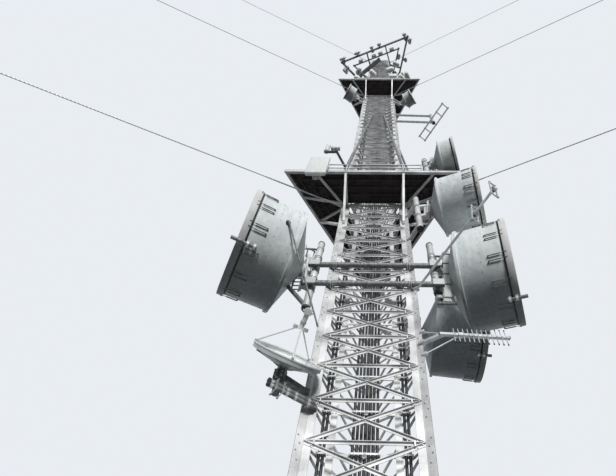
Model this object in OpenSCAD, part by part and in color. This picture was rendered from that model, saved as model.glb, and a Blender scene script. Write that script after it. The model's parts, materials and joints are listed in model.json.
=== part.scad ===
// Guyed lattice mast with two triangular platforms, drum antennas and small antennas.
// Half size model: every length here is half of the real mast's. Lengths in millimetres.
// +Z is up, the mast's axis is the Z axis, the ground is z = 0 and the front face looks to -Y.

/* [Mast] */
// Distance between two legs, corner to corner
face_w = 610; // [560:5:660]
// Height of one braced panel
panel_h = 280; // [270:1:290]
// Number of braced panels from the base plate to the mast's top
panels = 70; // [70:1:72]
// Thickness of the leg's three plates
leg_t = 6; // [5:0.5:8]
// Width of the two leg plates that lie in the faces
flange_w = 48; // [40:1:56]
// Width of the leg plate that points outwards
fin_w = 38; // [32:1:44]

/* [Bracing] */
// Width of an angle bar's flat side, which lies on the legs
bar_w = 18; // [14:1:22]
// Width of an angle bar's side that stands out
bar_out = 15; // [12:1:18]
// Thickness of the angle bars
bar_t = 3; // [2.5:0.5:4]

/* [Base] */
// Height of the concrete base block
block_h = 150; // [100:5:200]
// Side of the square concrete base block
block_w = 960; // [930:10:1100]
// Thickness of the steel base plate
plate_t = 20; // [16:1:30]
// Radius of the base plate's cut corners
plate_r = 440; // [430:5:450]

/* [Platforms] */
// Side of a triangular platform
platform_side = 1830; // [1780:10:1900]
// Panel at which the lower platform lies
low_panel = 18; // [17:1:19]
// Panel at which the upper platform lies
high_panel = 42; // [40:1:44]
// Height of the platform's beams
beam_h = 50; // [40:1:60]
// Width of the platform's beams
beam_w = 25; // [20:1:30]
// Thickness of the platform's floor plate
floor_t = 8; // [6:1:12]
// Length of the rail along each side of a platform
rail_l = 960; // [900:10:1000]
// Height of the upper rail above the floor
rail_h = 225; // [200:5:300]
// Diameter of the rails
rail_d = 12; // [10:1:16]

/* [Guys] */
// Panel at which the top guys are fixed
top_panel = 67; // [66:1:68]
// Distance from the mast's axis to the middle guy's pin at the anchor
anchor_r = 13500; // [13000:50:14000]
// Height of the middle guy's pin at the anchor
anchor_z = 290; // [280:5:320]
// Diameter of the guy wires
wire_d = 9; // [7:0.5:12]
// Diameter of the forks at the guys' ends
fork_d = 24; // [22:1:28]
// Diameter of the pins
pin_d = 12; // [10:0.5:14]
// Side of an anchor's square concrete block
anchor_w = 600; // [500:10:700]
// Height of an anchor's concrete block above the ground
anchor_h = 100; // [80:5:130]

/* [Drums] */
// Diameter of the two large drums
drum_d = 860; // [820:5:900]
// Length of the large drums between their rims
drum_l = 400; // [360:5:420]
// Height of the large drums' axes
drum_z = 3880; // [3850:5:3910]
// Diameter of the drum below the platform
mid_d = 540; // [520:5:560]
// Length of the drum below the platform
mid_l = 365; // [345:5:380]
// Diameter of the rear drum
rear_d = 860; // [830:5:890]
// Length of the rear drum
rear_l = 496; // [470:5:520]
// Diameter of the small drum on the platform
small_d = 412; // [405:1:425]
// Length of the small drum
small_l = 164; // [150:2:176]
// Diameter of the antenna pipes
pipe_d = 57; // [50:1:60]
// Diameter of the two tubes across the front face
tube_d = 44; // [40:1:50]
// Diameter of the two drums under the upper platform
high_drum_d = 330; // [310:5:350]
// Length of these two drums
high_drum_l = 170; // [150:5:190]

/* [Small antennas] */
// Diameter of the open dish
dish_d = 380; // [365:5:395]
// Distance from the open dish's middle to the mouth of its feed horn
dish_focus = 215; // [205:5:230]
// Height of the twin tube arm that the open dish's pipe stands at
dish_arm_z = 2345; // [2335:1:2350]
// Diameter of the open dish's pipe
dish_pipe_d = 40; // [36:1:44]
// Height of the rod antenna
rods_z = 2900; // [2880:5:2910]
// Length of the rod antenna's boom
rods_boom = 430; // [400:5:460]
// Length of its rods
rods_l = 145; // [130:5:150]
// Height of the loop antenna's boom
loops_z = 3540; // [3530:5:3560]
// Length of the loop antenna's boom
loops_boom = 868; // [840:4:896]
// Height of one loop
loop_h = 300; // [280:5:320]
// Width of one loop
loop_w = 46; // [40:1:52]
// Width of the panel antenna on the lower platform
panel_w = 200; // [180:5:220]
// Height of this panel antenna
panel_tall = 500; // [460:5:540]

/* [Head frame] */
// Panel at which the head frame lies
head_panel = 64; // [63:1:65]
// Side of the triangular head frame
head_side = 2300; // [2250:10:2350]
// Diameter of the head frame's pipes
head_pipe_d = 48; // [44:1:52]
// Height of the head frame, from its lower to its upper pipes
head_h = 180; // [160:5:220]
// Height of the head frame's panel antennas
head_tall = 560; // [500:10:620]

/* [Cables] */
// Diameter of the feeder cables
cable_d = 16; // [14:1:18]
// Distance between two cables of a group
cable_gap = 21; // [19:1:22]
// Width of the cable ladder's two rails
ladder_rail_w = 36; // [30:1:40]
// Distance from the axis to the middle of a rail
ladder_x = 175; // [172:1:180]

/* [Hidden] */

seat = 0.3;
steel = "gainsboro";
base_h = block_h + plate_t;
mast_top = base_h + panels * panel_h;
leg_r = face_w / sqrt(3);
face_y = leg_r / 2;
fin_r = leg_r + fin_w;
lug_r = 22;
lug_x = fin_r + 26;
low_z = base_h + low_panel * panel_h;
high_z = base_h + high_panel * panel_h;
top_z = base_h + top_panel * panel_h;
az_left = 210;
az_right = 330;
az_rear = 90;
half_up = 35;
beam_z = bar_w / 2 + 11;

function panel_z(k) = base_h + k * panel_h;

// A unit vector in the plan
function toward(az) = [cos(az), sin(az)];

// The outer edge of a leg in the plan
function edge(az) = fin_r * toward(az);

// A straight round bar between two points
module rod(a, b, d, sides = 12) {
    v = b - a;
    len = norm(v);
    translate(a) rotate([0, acos(v[2] / len), atan2(v[1], v[0])]) cylinder(d = d, h = len, $fn = sides);
}

// A straight square bar between two points, with two of its sides level
module square_bar(a, b, w, h) {
    v = b - a;
    len = norm(v);
    translate(a) rotate([0, acos(v[2] / len), atan2(v[1], v[0])])
        translate([-h / 2, -w / 2, 0]) cube([h, w, len]);
}

// Foundation

module base_block() {
    color("silver") translate([-block_w / 2, -block_w / 2, 0]) cube([block_w, block_w, block_h]);
}

module base_plate() {
    color(steel) translate([0, 0, block_h]) linear_extrude(plate_t) intersection() {
        rotate(90) circle(r = plate_r * 1.2, $fn = 3);
        circle(r = plate_r, $fn = 96);
    }
}

// Legs: three plates that meet at the face's corner

module leg_section() {
    translate([leg_r, 0]) {
        rotate(150) square([flange_w, leg_t]);
        rotate(-150) translate([0, -leg_t]) square([flange_w, leg_t]);
        translate([-leg_t, -leg_t / 2]) square([fin_w + leg_t, leg_t]);
    }
}

module guy_lug(z) {
    translate([0, leg_t / 2, z]) rotate([90, 0, 0]) linear_extrude(leg_t) difference() {
        union() {
            translate([lug_x, 0]) circle(r = lug_r, $fn = 48);
            translate([fin_r - 10, -lug_r]) square([lug_x - fin_r + 10, 2 * lug_r]);
        }
        translate([lug_x, 0]) circle(d = pin_d + 2 * seat, $fn = 48);
    }
}

function lug_z(level) = level - lug_r - 30;

module leg(az) {
    color(steel) rotate(az) {
        translate([0, 0, base_h]) linear_extrude(mast_top - base_h) leg_section();
        guy_lug(lug_z(low_z));
        guy_lug(lug_z(high_z));
        guy_lug(lug_z(top_z));
    }
}

module leg_front_left() leg(az_left);
module leg_front_right() leg(az_right);
module leg_rear() leg(az_rear);

// Bracing of one face: an X and a horizontal in every panel, all of them angle bars

bar_end = face_w / 2 - 8;
slope = atan2(panel_h, face_w);
bar_rise = bar_w / cos(slope);
edge_rise = bar_t / cos(slope);

// A slanted strip across the face, from z0 on one side to z1 on the other
module slanted(z0, z1, low, high) {
    polygon([[-bar_end, z0 + low], [bar_end, z1 + low], [bar_end, z1 + high], [-bar_end, z0 + high]]);
}

module panel_bars(k, low, high, low_slanted) {
    z0 = panel_z(k);
    z1 = panel_z(k + 1);
    translate([-bar_end, z0 + low]) square([2 * bar_end, high - low]);
    slanted(z0, z1, low_slanted, bar_rise / 2);
    slanted(z1, z0, low_slanted, bar_rise / 2);
}

module bars(from, to, low, high, low_slanted) {
    intersection() {
        union() for (k = [from : to - 1]) panel_bars(k, low, high, low_slanted);
        translate([-face_w / 2, panel_z(from) - bar_w / 2])
            square([face_w, (to - from) * panel_h - seat]);
    }
}

module bracing(turn, from, to) {
    color(steel) rotate(turn) translate([0, -face_y - seat, 0]) rotate([90, 0, 0]) {
        linear_extrude(bar_t) bars(from, to, -bar_w / 2, bar_w / 2, -bar_rise / 2);
        linear_extrude(bar_out) bars(from, to, bar_w / 2 - bar_t, bar_w / 2, bar_rise / 2 - edge_rise);
    }
}

module bracing_front_lower() bracing(0, 0, half_up);
module bracing_right_lower() bracing(120, 0, half_up);
module bracing_left_lower() bracing(-120, 0, half_up);
module bracing_front_upper() bracing(0, half_up, panels);
module bracing_right_upper() bracing(120, half_up, panels);
module bracing_left_upper() bracing(-120, half_up, panels);

// Platforms

platform_r = platform_side / sqrt(3);
platform_y = platform_r / 2;
post_x = face_w / 2 - beam_w / 2 - 2;
knee_w = 22;
knee_drop = 1.5 * panel_h;
knee_foot = 18;
brace_w = 26;
brace_az = 10.7;
brace_r = (platform_y - beam_w / 2) / cos(60 - brace_az);

module triangle(r) {
    rotate(90) circle(r = r, $fn = 3);
}

module platform_frame(level) {
    color(steel) translate([0, 0, level + beam_z]) {
        linear_extrude(beam_h) difference() {
            triangle(platform_r);
            triangle(platform_r - 2 * beam_w);
        }
        for (turn = [0, 120, -120], side = [-1, 1]) rotate(turn)
            translate([side * post_x - beam_w / 2, -platform_y + beam_w / 2, 0])
                cube([beam_w, platform_y - beam_w / 2 - face_y - seat, beam_h]);
    }
    for (az = [az_left, az_right, az_rear]) leg_arms(az, level + beam_z + brace_w / 2 + 4,
        [brace_r * toward(az - brace_az), brace_r * toward(az + brace_az)], brace_w);
    for (turn = [0, 120, -120], side = [-1, 1])
        rotate(turn) translate([side * post_x, 0, level]) knee_brace();
}

// From a foot on the leg's plate, halfway between two level bars, up to the platform's outer beam
module knee_brace() {
    y = -face_y - seat - knee_foot;
    color(steel) {
        square_bar([0, -platform_y + beam_w / 2, beam_z + 12], [0, y, -knee_drop], knee_w, knee_w);
        translate([-knee_w / 2 - 2, y, -knee_drop - 30]) cube([knee_w + 4, knee_foot, 60]);
    }
}

module platform_floor(level) {
    color("dimgray") translate([0, 0, level + beam_z + beam_h]) linear_extrude(floor_t) difference() {
        triangle(platform_r);
        triangle(2 * (face_y + bar_out + 8));
    }
}

module platform_rails(level) {
    z0 = level + beam_z + beam_h + floor_t;
    y = -platform_y + beam_w / 2;
    color(steel) for (turn = [0, 120, -120]) rotate(turn) {
        for (x = [-rail_l / 2, -post_x, post_x, rail_l / 2]) translate([x, y, z0])
            cylinder(d = rail_d, h = rail_h, $fn = 12);
        for (h = [rail_h / 2, rail_h]) rod([-rail_l / 2, y, z0 + h - rail_d / 2],
            [rail_l / 2, y, z0 + h - rail_d / 2], rail_d);
    }
}

module lower_platform_frame() platform_frame(low_z);
module lower_platform_floor() platform_floor(low_z);
module lower_platform_rails() platform_rails(low_z);
module upper_platform_frame() platform_frame(high_z);
module upper_platform_floor() platform_floor(high_z);
module upper_platform_rails() platform_rails(high_z);

// Guys, from the lugs on the legs to the plates at the anchors

pin_gap = 48;
plate_a = 10;
fork_slot = lug_r + 4;

// The pins at an anchor stand on a line across the middle guy
function anchor_pin(i) = [anchor_r + i * pin_gap * 0.67, anchor_z + i * pin_gap * 0.74];

module fork(t) {
    difference() {
        translate([0, 0, -pin_d]) cylinder(d = fork_d, h = 70 + pin_d, $fn = 16);
        translate([-fork_d, -t / 2 - seat, -fork_d]) cube([2 * fork_d, t + 2 * seat, fork_d + fork_slot]);
    }
    rotate([90, 0, 0]) cylinder(d = pin_d, h = fork_d + 4, center = true, $fn = 24);
}

module guy(level, i) {
    a = [lug_x, lug_z(level)];
    b = anchor_pin(i);
    len = norm(b - a);
    translate([a[0], 0, a[1]]) rotate([0, atan2(b[0] - a[0], b[1] - a[1]), 0]) {
        fork(leg_t);
        translate([0, 0, 60]) cylinder(d = wire_d * 1.8, h = 120, $fn = 12);
        translate([0, 0, 60]) cylinder(d = wire_d, h = len - 260, $fn = 8);
        translate([0, 0, len]) mirror([0, 0, 1]) {
            fork(plate_a);
            translate([0, 0, 60]) cylinder(d = fork_d * 1.1, h = 180, $fn = 12);
            translate([0, 0, 230]) cylinder(d = wire_d * 1.8, h = 120, $fn = 12);
        }
    }
}

module guys(level, i) {
    color("lightgray") for (az = [az_left, az_right, az_rear]) rotate(az) guy(level, i);
}

module guys_low() guys(low_z, -1);
module guys_middle() guys(high_z, 0);
module guys_top() guys(top_z, 1);

module anchor_blocks() {
    color("silver") for (az = [az_left, az_right, az_rear]) rotate(az)
        translate([anchor_r - anchor_w / 3, -anchor_w / 2, 0]) cube([anchor_w, anchor_w, anchor_h]);
}

module anchor_plate() {
    a = anchor_pin(-1);
    b = anchor_pin(1);
    translate([0, plate_a / 2, 0]) rotate([90, 0, 0]) linear_extrude(plate_a) difference() {
        union() {
            polygon([a, b, [b[0] + 130, anchor_h + 12], [a[0] + 40, anchor_h + 12]]);
            for (i = [-1 : 1]) translate(anchor_pin(i)) circle(r = lug_r, $fn = 48);
        }
        for (i = [-1 : 1]) translate(anchor_pin(i)) circle(d = pin_d + 2 * seat, $fn = 48);
    }
    translate([a[0] + 20, -90, anchor_h]) cube([230, 180, 12]);
}

module anchor_plates() {
    color(steel) for (az = [az_left, az_right, az_rear]) rotate(az) anchor_plate();
}

// Drums: a round shell with two rims, a flat front and a cone behind that ends in a hub

hub_r = 60;
hub_l = 26;
rim_w = 16;

function cone_l(d) = d * 0.15;
// A drum's axis, from its hub to its front: dip is how far it points below the horizon
function axis(az, dip) = [cos(az) * cos(dip), sin(az) * cos(dip), -sin(dip)];
// The direction across the axis that leads most steeply up
function above(az, dip) = [cos(az) * sin(dip), sin(az) * sin(dip), cos(dip)];

module drum(at, az, dip, d, len) {
    r = d / 2;
    rear_t = d * 0.028;
    front_t = d * 0.044;
    color("lightsteelblue") translate(at) rotate([0, 90 + dip, az]) rotate_extrude($fn = 96) polygon([
        [0, -cone_l(d) - hub_l], [hub_r, -cone_l(d) - hub_l], [hub_r, -cone_l(d)], [r - rim_w, 0],
        [r, 0], [r, rear_t], [r - rim_w, rear_t], [r - rim_w, len - front_t], [r, len - front_t],
        [r, len], [0, len]]);
}

// A pipe beside a drum, down below and up above its rear rim, with two arms to a plate on its hub
module drum_mount(at, az, dip, d, pipe, down, up) {
    hub = at - (cone_l(d) + hub_l + seat + 8) * axis(az, dip);
    color(steel) {
        translate([pipe[0], pipe[1], at[2] - down]) cylinder(d = pipe_d, h = up + down, $fn = 48);
        translate(hub) rotate([0, 90 + dip, az]) {
            translate([-d / 4, -50, -8]) cube([d / 2, 100, 16]);
            translate([-d / 4 + 6, -d * 0.035, -7 - d * 0.065]) cube([d / 2 - 12, d * 0.07, d * 0.065]);
        }
        for (side = [-1, 1]) {
            start = hub + side * d / 5 * above(az, dip);
            square_bar(start, [pipe[0], pipe[1], start[2]], 40, 40);
        }
    }
}

// A clamp round the outer edge of a leg, with a bar to a point beside the mast; the clamp is higher by lap
module leg_arm(az, z, to, w = 36, lap = 0) {
    tip = fin_r + 6;
    color(steel) difference() {
        union() {
            rotate(az) translate([fin_r - 24, -20, z - w / 2 - lap]) cube([40, 40, w + 2 * lap]);
            square_bar([tip * cos(az), tip * sin(az), z], [to[0], to[1], z], w, w);
        }
        rotate(az) translate([fin_r - 60, -leg_t / 2 - seat, z - w])
            cube([60 + seat, leg_t + 2 * seat, 2 * w]);
    }
}

// A block round the outer edge of a leg, with two bars from it, the second one less high
module leg_arms(az, z, ends, w) {
    color(steel) difference() {
        union() {
            rotate(az) translate([fin_r - 16, -w / 2 - 5, z - w / 2 - 3]) cube([28 + w / 2, w + 10, w + 6]);
            for (i = [0, 1]) square_bar([(fin_r + 6) * cos(az), (fin_r + 6) * sin(az), z],
                [ends[i][0], ends[i][1], z], w, w - 4 * i);
        }
        rotate(az) translate([fin_r - 60, -leg_t / 2 - seat, z - w])
            cube([60 + seat, leg_t + 2 * seat, 2 * w]);
    }
}

// Places in the plan and heights of the drums' pipes and rear rims

tube_y = -face_y - bar_out - tube_d / 2 - 4;
tube_zs = [drum_z - 308, drum_z - 23];
tube_from = [-face_w / 2 - 210, -face_w / 2 - 195];
tube_to = face_w / 2 + 235;
pipe_y = tube_y + (tube_d + pipe_d) / 2 + seat;
pipe_left = [-face_w / 2 - 150, pipe_y];
pipe_right = [face_w / 2 + 195, pipe_y];
pipe_below = edge(az_right) + [72, -135];
pipe_rear = edge(az_rear) + [335, 395];
pipe_small = [platform_side * 0.295, -platform_y + 42];
pipes_high = [edge(az_left) + [-105, -45], edge(az_right) + [135, 65]];

// A place in the plan, moved and set at a height
function place(pipe, move, z) = [pipe[0] + move[0], pipe[1] + move[1], z];

left_at = place(pipe_left, [-235, -55], drum_z - 15);
left_az = 209;
left_dip = 3.5;
right_at = place(pipe_right, [257, 115], drum_z - 15);
right_az = -21;
right_dip = 6.5;
below_at = place(pipe_below, [211, -51], low_z - 546);
below_az = -19;
below_dip = 5.5;
rear_at = place(pipe_rear, [296, 15], drum_z + 410);
rear_az = -0.5;
rear_dip = 9;
small_at = place(pipe_small, [162, -50], low_z + 360);
small_az = -20;
small_dip = 3;
high_z_drums = high_z - 680;
highs_at = [place(pipes_high[0], [-95, -55], high_z_drums), place(pipes_high[1], [110, -65], high_z_drums)];
highs_az = [212, -34];

// Two tubes across the front face, clamped to the front legs
module drum_tubes() {
    color("dimgray") for (i = [0, 1]) {
        rod([tube_from[i], tube_y, tube_zs[i]], [tube_to, tube_y, tube_zs[i]], tube_d, 48);
        for (side = [-1, 1]) translate([side * (face_w / 2 - 15) - 15, tube_y, tube_zs[i] - 14])
            cube([30, -face_y - seat - tube_y, 28]);
    }
}

module drum_left() drum(left_at, left_az, left_dip, drum_d, drum_l);
module drum_left_mount() drum_mount(left_at, left_az, left_dip, drum_d, pipe_left, 565, 465);
module drum_right() drum(right_at, right_az, right_dip, drum_d, drum_l);
module drum_right_mount() drum_mount(right_at, right_az, right_dip, drum_d, pipe_right, 345, 465);
module drum_below_platform() drum(below_at, below_az, below_dip, mid_d, mid_l);

// Two arms from a leg to a pipe, at the same distance from a height
module pipe_arms(az, z, reach, pipe, lap = 0) {
    for (side = [-1, 1]) leg_arm(az, z + side * reach, pipe, lap = lap);
}

module drum_below_platform_mount() {
    drum_mount(below_at, below_az, below_dip, mid_d, pipe_below, 360, 360);
    pipe_arms(az_right, below_at[2], 260, pipe_below);
}

module drum_rear() drum(rear_at, rear_az, rear_dip, rear_d, rear_l);

module drum_rear_mount() {
    drum_mount(rear_at, rear_az, rear_dip, rear_d, pipe_rear, 400, 380);
    pipe_arms(az_rear, rear_at[2], 300, pipe_rear, 3);
}

module drum_small() drum(small_at, small_az, small_dip, small_d, small_l);

module drum_small_mount() {
    down = small_at[2] - (low_z + beam_z + beam_h + floor_t + seat);
    drum_mount(small_at, small_az, small_dip, small_d, pipe_small, down, 190);
}

module high_drums() {
    for (i = [0, 1]) drum(highs_at[i], highs_az[i], 0, high_drum_d, high_drum_l);
}

module high_drum_mounts() {
    for (i = [0, 1]) {
        drum_mount(highs_at[i], highs_az[i], 0, high_drum_d, pipes_high[i], 210, 210);
        pipe_arms([az_left, az_right][i], high_z_drums, 160, pipes_high[i]);
    }
}

// The open dish on the left leg, which looks up and to the front

dish_az = -61;
dish_up = 36;
dish_t = 4;
dish_depth = pow(dish_d / 2, 2) / (4 * dish_focus);
dish_pipe = edge(az_left) + [-120, -113];
dish_skirt = 24;
dish_middle = [dish_pipe[0] + 6, dish_pipe[1] + 2, dish_arm_z + 198];
dish_block = 56;
twin_az = 218;
twin_d = 26;

// Turns the Z axis into the dish's axis and starts from the dish's middle
module on_dish() {
    translate(dish_middle) rotate([0, 90 - dish_up, dish_az]) children();
}

module small_dish() {
    steps = 8;
    r = dish_d / 2;
    inside = [for (i = [0 : steps]) [r * i / steps, dish_depth * pow(i / steps, 2)]];
    outside = [for (i = [steps : -1 : 0]) [r * i / steps, dish_depth * pow(i / steps, 2) - dish_t]];
    color("white") on_dish() rotate_extrude($fn = 96)
        polygon(concat(inside, [[r, dish_depth + dish_skirt], [r + 6, dish_depth + dish_skirt],
            [r + 6, dish_depth - dish_t]], outside));
}

module small_dish_feed() {
    mouth = dish_focus;
    ring_r = 26;
    color("whitesmoke") on_dish() {
        translate([0, 0, mouth]) cylinder(r = ring_r, h = 10, $fn = 48);
        translate([0, 0, mouth + 9]) cylinder(d = 28, h = 80, $fn = 48);
        translate([-19, -19, mouth + 88]) cube([38, 38, 34]);
        for (a = [0, 135, 270]) {
            foot = (dish_d / 2 + 2) * toward(a);
            head = (ring_r - 4) * toward(a);
            rod([foot[0], foot[1], dish_depth + dish_skirt + 3 + seat], [head[0], head[1], mouth + 5], 8);
        }
    }
}

module small_dish_mount() {
    low = dish_arm_z - 20;
    color("dimgray") {
        translate([dish_pipe[0], dish_pipe[1], low]) cylinder(d = dish_pipe_d, h = 150, $fn = 48);
        translate([dish_pipe[0] - dish_block / 2, dish_pipe[1] - dish_block / 2, low + 90])
            cube([dish_block, dish_block, 70]);
        translate([dish_pipe[0] - dish_block / 2 + 2, dish_pipe[1] + 4, low + 95])
            cube([dish_block - 4, dish_block / 2, 95]);
        on_dish() translate([0, 0, -dish_t - seat - 64]) cylinder(d = 56, h = 64, $fn = 48);
    }
    leg_arm(az_left, low + 130, dish_pipe, 36);
}

// Two tubes, one on the other, from the left leg's face past the dish's pipe
module twin_tube_arm() {
    along = toward(twin_az);
    across = [-along[1], along[0]];
    by = dish_pipe + ((dish_pipe_d + twin_d) / 2 + seat) * across;
    inner = by - along * (-face_y - bar_out - 12 - by[1]) / -along[1];
    outer = by + along * 62;
    color("dimgray") {
        for (i = [0, 1]) rod([inner[0], inner[1], dish_arm_z + (i - 0.5) * (twin_d - 1)],
            [outer[0], outer[1], dish_arm_z + (i - 0.5) * (twin_d - 1)], twin_d, 48);
        translate([inner[0] - 12, inner[1], dish_arm_z - twin_d / 2])
            cube([24, -face_y - seat - inner[1], twin_d]);
    }
}

// Rod antenna: upright rods through a level boom, carried by the right leg
module rod_antenna() {
    start = edge(az_right) + [95, -72];
    boom_az = 3;
    pitch = 29;
    count = 12;
    first = rods_boom - 20 - pitch * (count - 1);
    end = start + rods_boom * toward(boom_az);
    color(steel) {
        square_bar([start[0], start[1], rods_z], [end[0], end[1], rods_z], 20, 20);
        for (i = [0 : count - 1]) {
            at = start + (first + pitch * i) * toward(boom_az);
            translate([at[0], at[1], rods_z - rods_l / 2]) cylinder(d = 7, h = rods_l, $fn = 8);
        }
    }
    leg_arm(az_right, rods_z, start + 20 * toward(boom_az), 24);
}

// Loop antenna: two narrow loops across a boom from the right leg, a little out of the upright
module loop_antenna() {
    boom_az = -59.6;
    bar = 8;
    lean = 10;
    start = edge(az_right);
    end = start + loops_boom * toward(boom_az);
    leg_arm(az_right, loops_z, end, 14);
    color(steel) for (reach = [loops_boom - 196, loops_boom - 12]) {
        at = start + reach * toward(boom_az);
        translate([at[0], at[1], loops_z]) rotate([0, 0, boom_az + 90]) rotate([90, lean, 0])
            linear_extrude(bar, center = true) {
                difference() {
                    square([loop_w + bar, loop_h], center = true);
                    square([loop_w - bar, loop_h - 2 * bar], center = true);
                }
                square([loop_w, 19], center = true);
            }
    }
}

// Panel antenna in front of the lower platform's front beam
panel_x = -platform_side * 0.306;
panel_pipe_d = 34;
panel_pipe_y = -platform_y - seat - panel_pipe_d / 2;
panel_low = low_z - 270;

module panel_antenna() {
    color("white") translate([panel_x - panel_w / 2, panel_pipe_y - panel_pipe_d / 2 - seat - 50, panel_low])
        cube([panel_w, 40, panel_tall]);
}

module panel_antenna_mount() {
    color(steel) {
        translate([panel_x, panel_pipe_y, panel_low + 20])
            cylinder(d = panel_pipe_d, h = panel_tall - 60, $fn = 48);
        for (z = [panel_low + 60, panel_low + panel_tall - 90])
            translate([panel_x - 40, panel_pipe_y - panel_pipe_d / 2 - 10, z])
                cube([80, panel_pipe_d / 2 + 10, 24]);
    }
}

// Two small white radomes on an arm of the left leg above the lower platform
radome_z = low_z + 1090;
radome_bar = edge(az_left) + [-135, -243];
radome_w = 26;

module side_radome_arm() {
    leg_arm(az_left, radome_z, radome_bar, radome_w);
    color(steel) translate([radome_bar[0] - 150, radome_bar[1] - radome_w / 2, radome_z - radome_w / 2])
        cube([150 + radome_w / 2, radome_w, radome_w]);
}

module side_radomes() {
    color("white") {
        translate([radome_bar[0] - 130, radome_bar[1], radome_z + radome_w / 2 + seat])
            cylinder(d = 56, h = 290, $fn = 48);
        translate([radome_bar[0] - 70, radome_bar[1] - radome_w / 2 - seat - 27, radome_z])
            rotate([0, 90, 0]) cylinder(d = 54, h = 110, $fn = 48);
    }
}

// A flat frame of two booms and rungs, on two tubes one above the other from the right leg
side_z = panel_z(33) - 153;

module side_frame() {
    boom_az = -56;
    middle = edge(az_right) + [655, 15];
    tube_up = 540;
    across = toward(boom_az + 90);
    half = 330;
    gap = 63;
    for (up = [0, tube_up]) leg_arm(az_right, side_z + up, middle, 34);
    color(steel) {
        translate([middle[0], middle[1], side_z - 60]) cylinder(d = 50, h = tube_up + 120, $fn = 48);
        for (side = [-1, 1]) {
            a = middle + side * gap * across - half * toward(boom_az);
            b = middle + side * gap * across + half * toward(boom_az);
            square_bar([a[0], a[1], side_z], [b[0], b[1], side_z], 22, 22);
        }
        for (i = [-2 : 2]) {
            a = middle - (gap + 18) * across + i * half * 0.48 * toward(boom_az);
            b = middle + (gap + 18) * across + i * half * 0.48 * toward(boom_az);
            square_bar([a[0], a[1], side_z], [b[0], b[1], side_z], 16, 16);
        }
    }
}

// Struts from the faces of the mast down to the lower platform's floor
module platform_struts() {
    top = panel_z(low_panel + 16);
    top_x = 112;
    top_y = -face_y - seat - bar_out - seat;
    foot = [320, -platform_y + 58, low_z + beam_z + beam_h + floor_t + seat];
    color("dimgray") for (turn = [0, 120, -120], side = [-1, 1]) rotate(turn) {
        translate([side * top_x - 20, top_y - 24, top - 30]) cube([40, 24, 48]);
        rod([side * top_x, top_y - 14, top], [side * foot[0], foot[1], foot[2] + 16], 32);
        translate([side * foot[0] - 30, foot[1] - 30, foot[2]]) cube([60, 60, 24]);
    }
}

// Small antennas on short arms of the front legs, above the upper platform: height and place of each
small_w = 190;
small_t = 110;
small_h = 320;
left_smalls = [[13500, -608, -328], [15000, -584, -354], [13900, -175, -420]];
right_smalls = [[14300, 272, -455], [15400, 462, -486], [13600, 702, -400], [13100, 545, -405],
    [12900, 330, -455]];

// The middle of an arm's block on a leg, in the plan
function arm_root(az) = (fin_r + 6) * toward(az);
function unit_to(a, b) = (b - a) / norm(b - a);

module small_arms(az, list) {
    for (item = list) {
        to = [item[1], item[2]];
        leg_arm(az, item[0], to - (small_t / 2 + seat) * unit_to(arm_root(az), to), 28);
    }
}

module small_covers(az, list) {
    for (item = list) {
        u = unit_to(arm_root(az), [item[1], item[2]]);
        translate([item[1], item[2], item[0] - small_h / 2]) rotate(atan2(u[1], u[0])) linear_extrude(small_h)
            union() {
                translate([-small_t / 2, -small_w / 2 + 20]) square([small_t, small_w - 40]);
                translate([-small_t / 2 + 20, -small_w / 2]) square([small_t - 40, small_w]);
                for (x = [-1, 1], y = [-1, 1]) translate([x * (small_t / 2 - 20), y * (small_w / 2 - 20)])
                    circle(r = 20, $fn = 32);
            }
    }
}

module mast_antennas() {
    color("white") {
        small_covers(az_left, left_smalls);
        small_covers(az_right, right_smalls);
    }
}

module mast_antenna_arms() {
    small_arms(az_left, left_smalls);
    small_arms(az_right, right_smalls);
}

// A broad boom across the left leg, below the head frame
module cross_boom() {
    z = panel_z(head_panel) - 1590;
    color("dimgray") difference() {
        union() {
            rotate(az_left) translate([fin_r - 24, -20, z - 30]) cube([40, 40, 60]);
            square_bar([-640, -61, z], [-1, -510, z], 110, 72);
        }
        rotate(az_left) translate([fin_r - 60, -leg_t / 2 - seat, z - 50])
            cube([60 + seat, leg_t + 2 * seat, 100]);
    }
}

// Head frame: a triangle of pipes, turned against the mast, with beams to the legs and upright pipes

head_z = panel_z(head_panel);
head_turn = -18;
head_y = head_side / sqrt(3) / 2;
post_h = head_tall + 100;
post_d = 34;
head_beam_w = 36;
post_y = -head_y - (head_pipe_d + post_d) / 2 + 2;
// Places of the upright pipes along each side of the head frame
half_side = head_side / 2;
posts = [[-half_side + 70, -560, -60, 200, half_side - 90], [-half_side + 90, -520, -60, half_side - 290],
    [-half_side + 250, 0, half_side - 250]];
// How wide the antenna on each of these pipes is
covers = [[200, 200, 116, 130, 130], [170, 110, 130, 124], [124, 124, 190]];
cover_t = 84;
sides = [0, 120, -120];
inner_y = 450;
inner_d = 42;
unit_t = 90;
unit_w = 150;
unit_h = 260;
// Places of the square units along each side of the inner triangle
units = [[-520, -60, 170, 560], [-560, -60, 180], [-560, 20, 560]];

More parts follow.
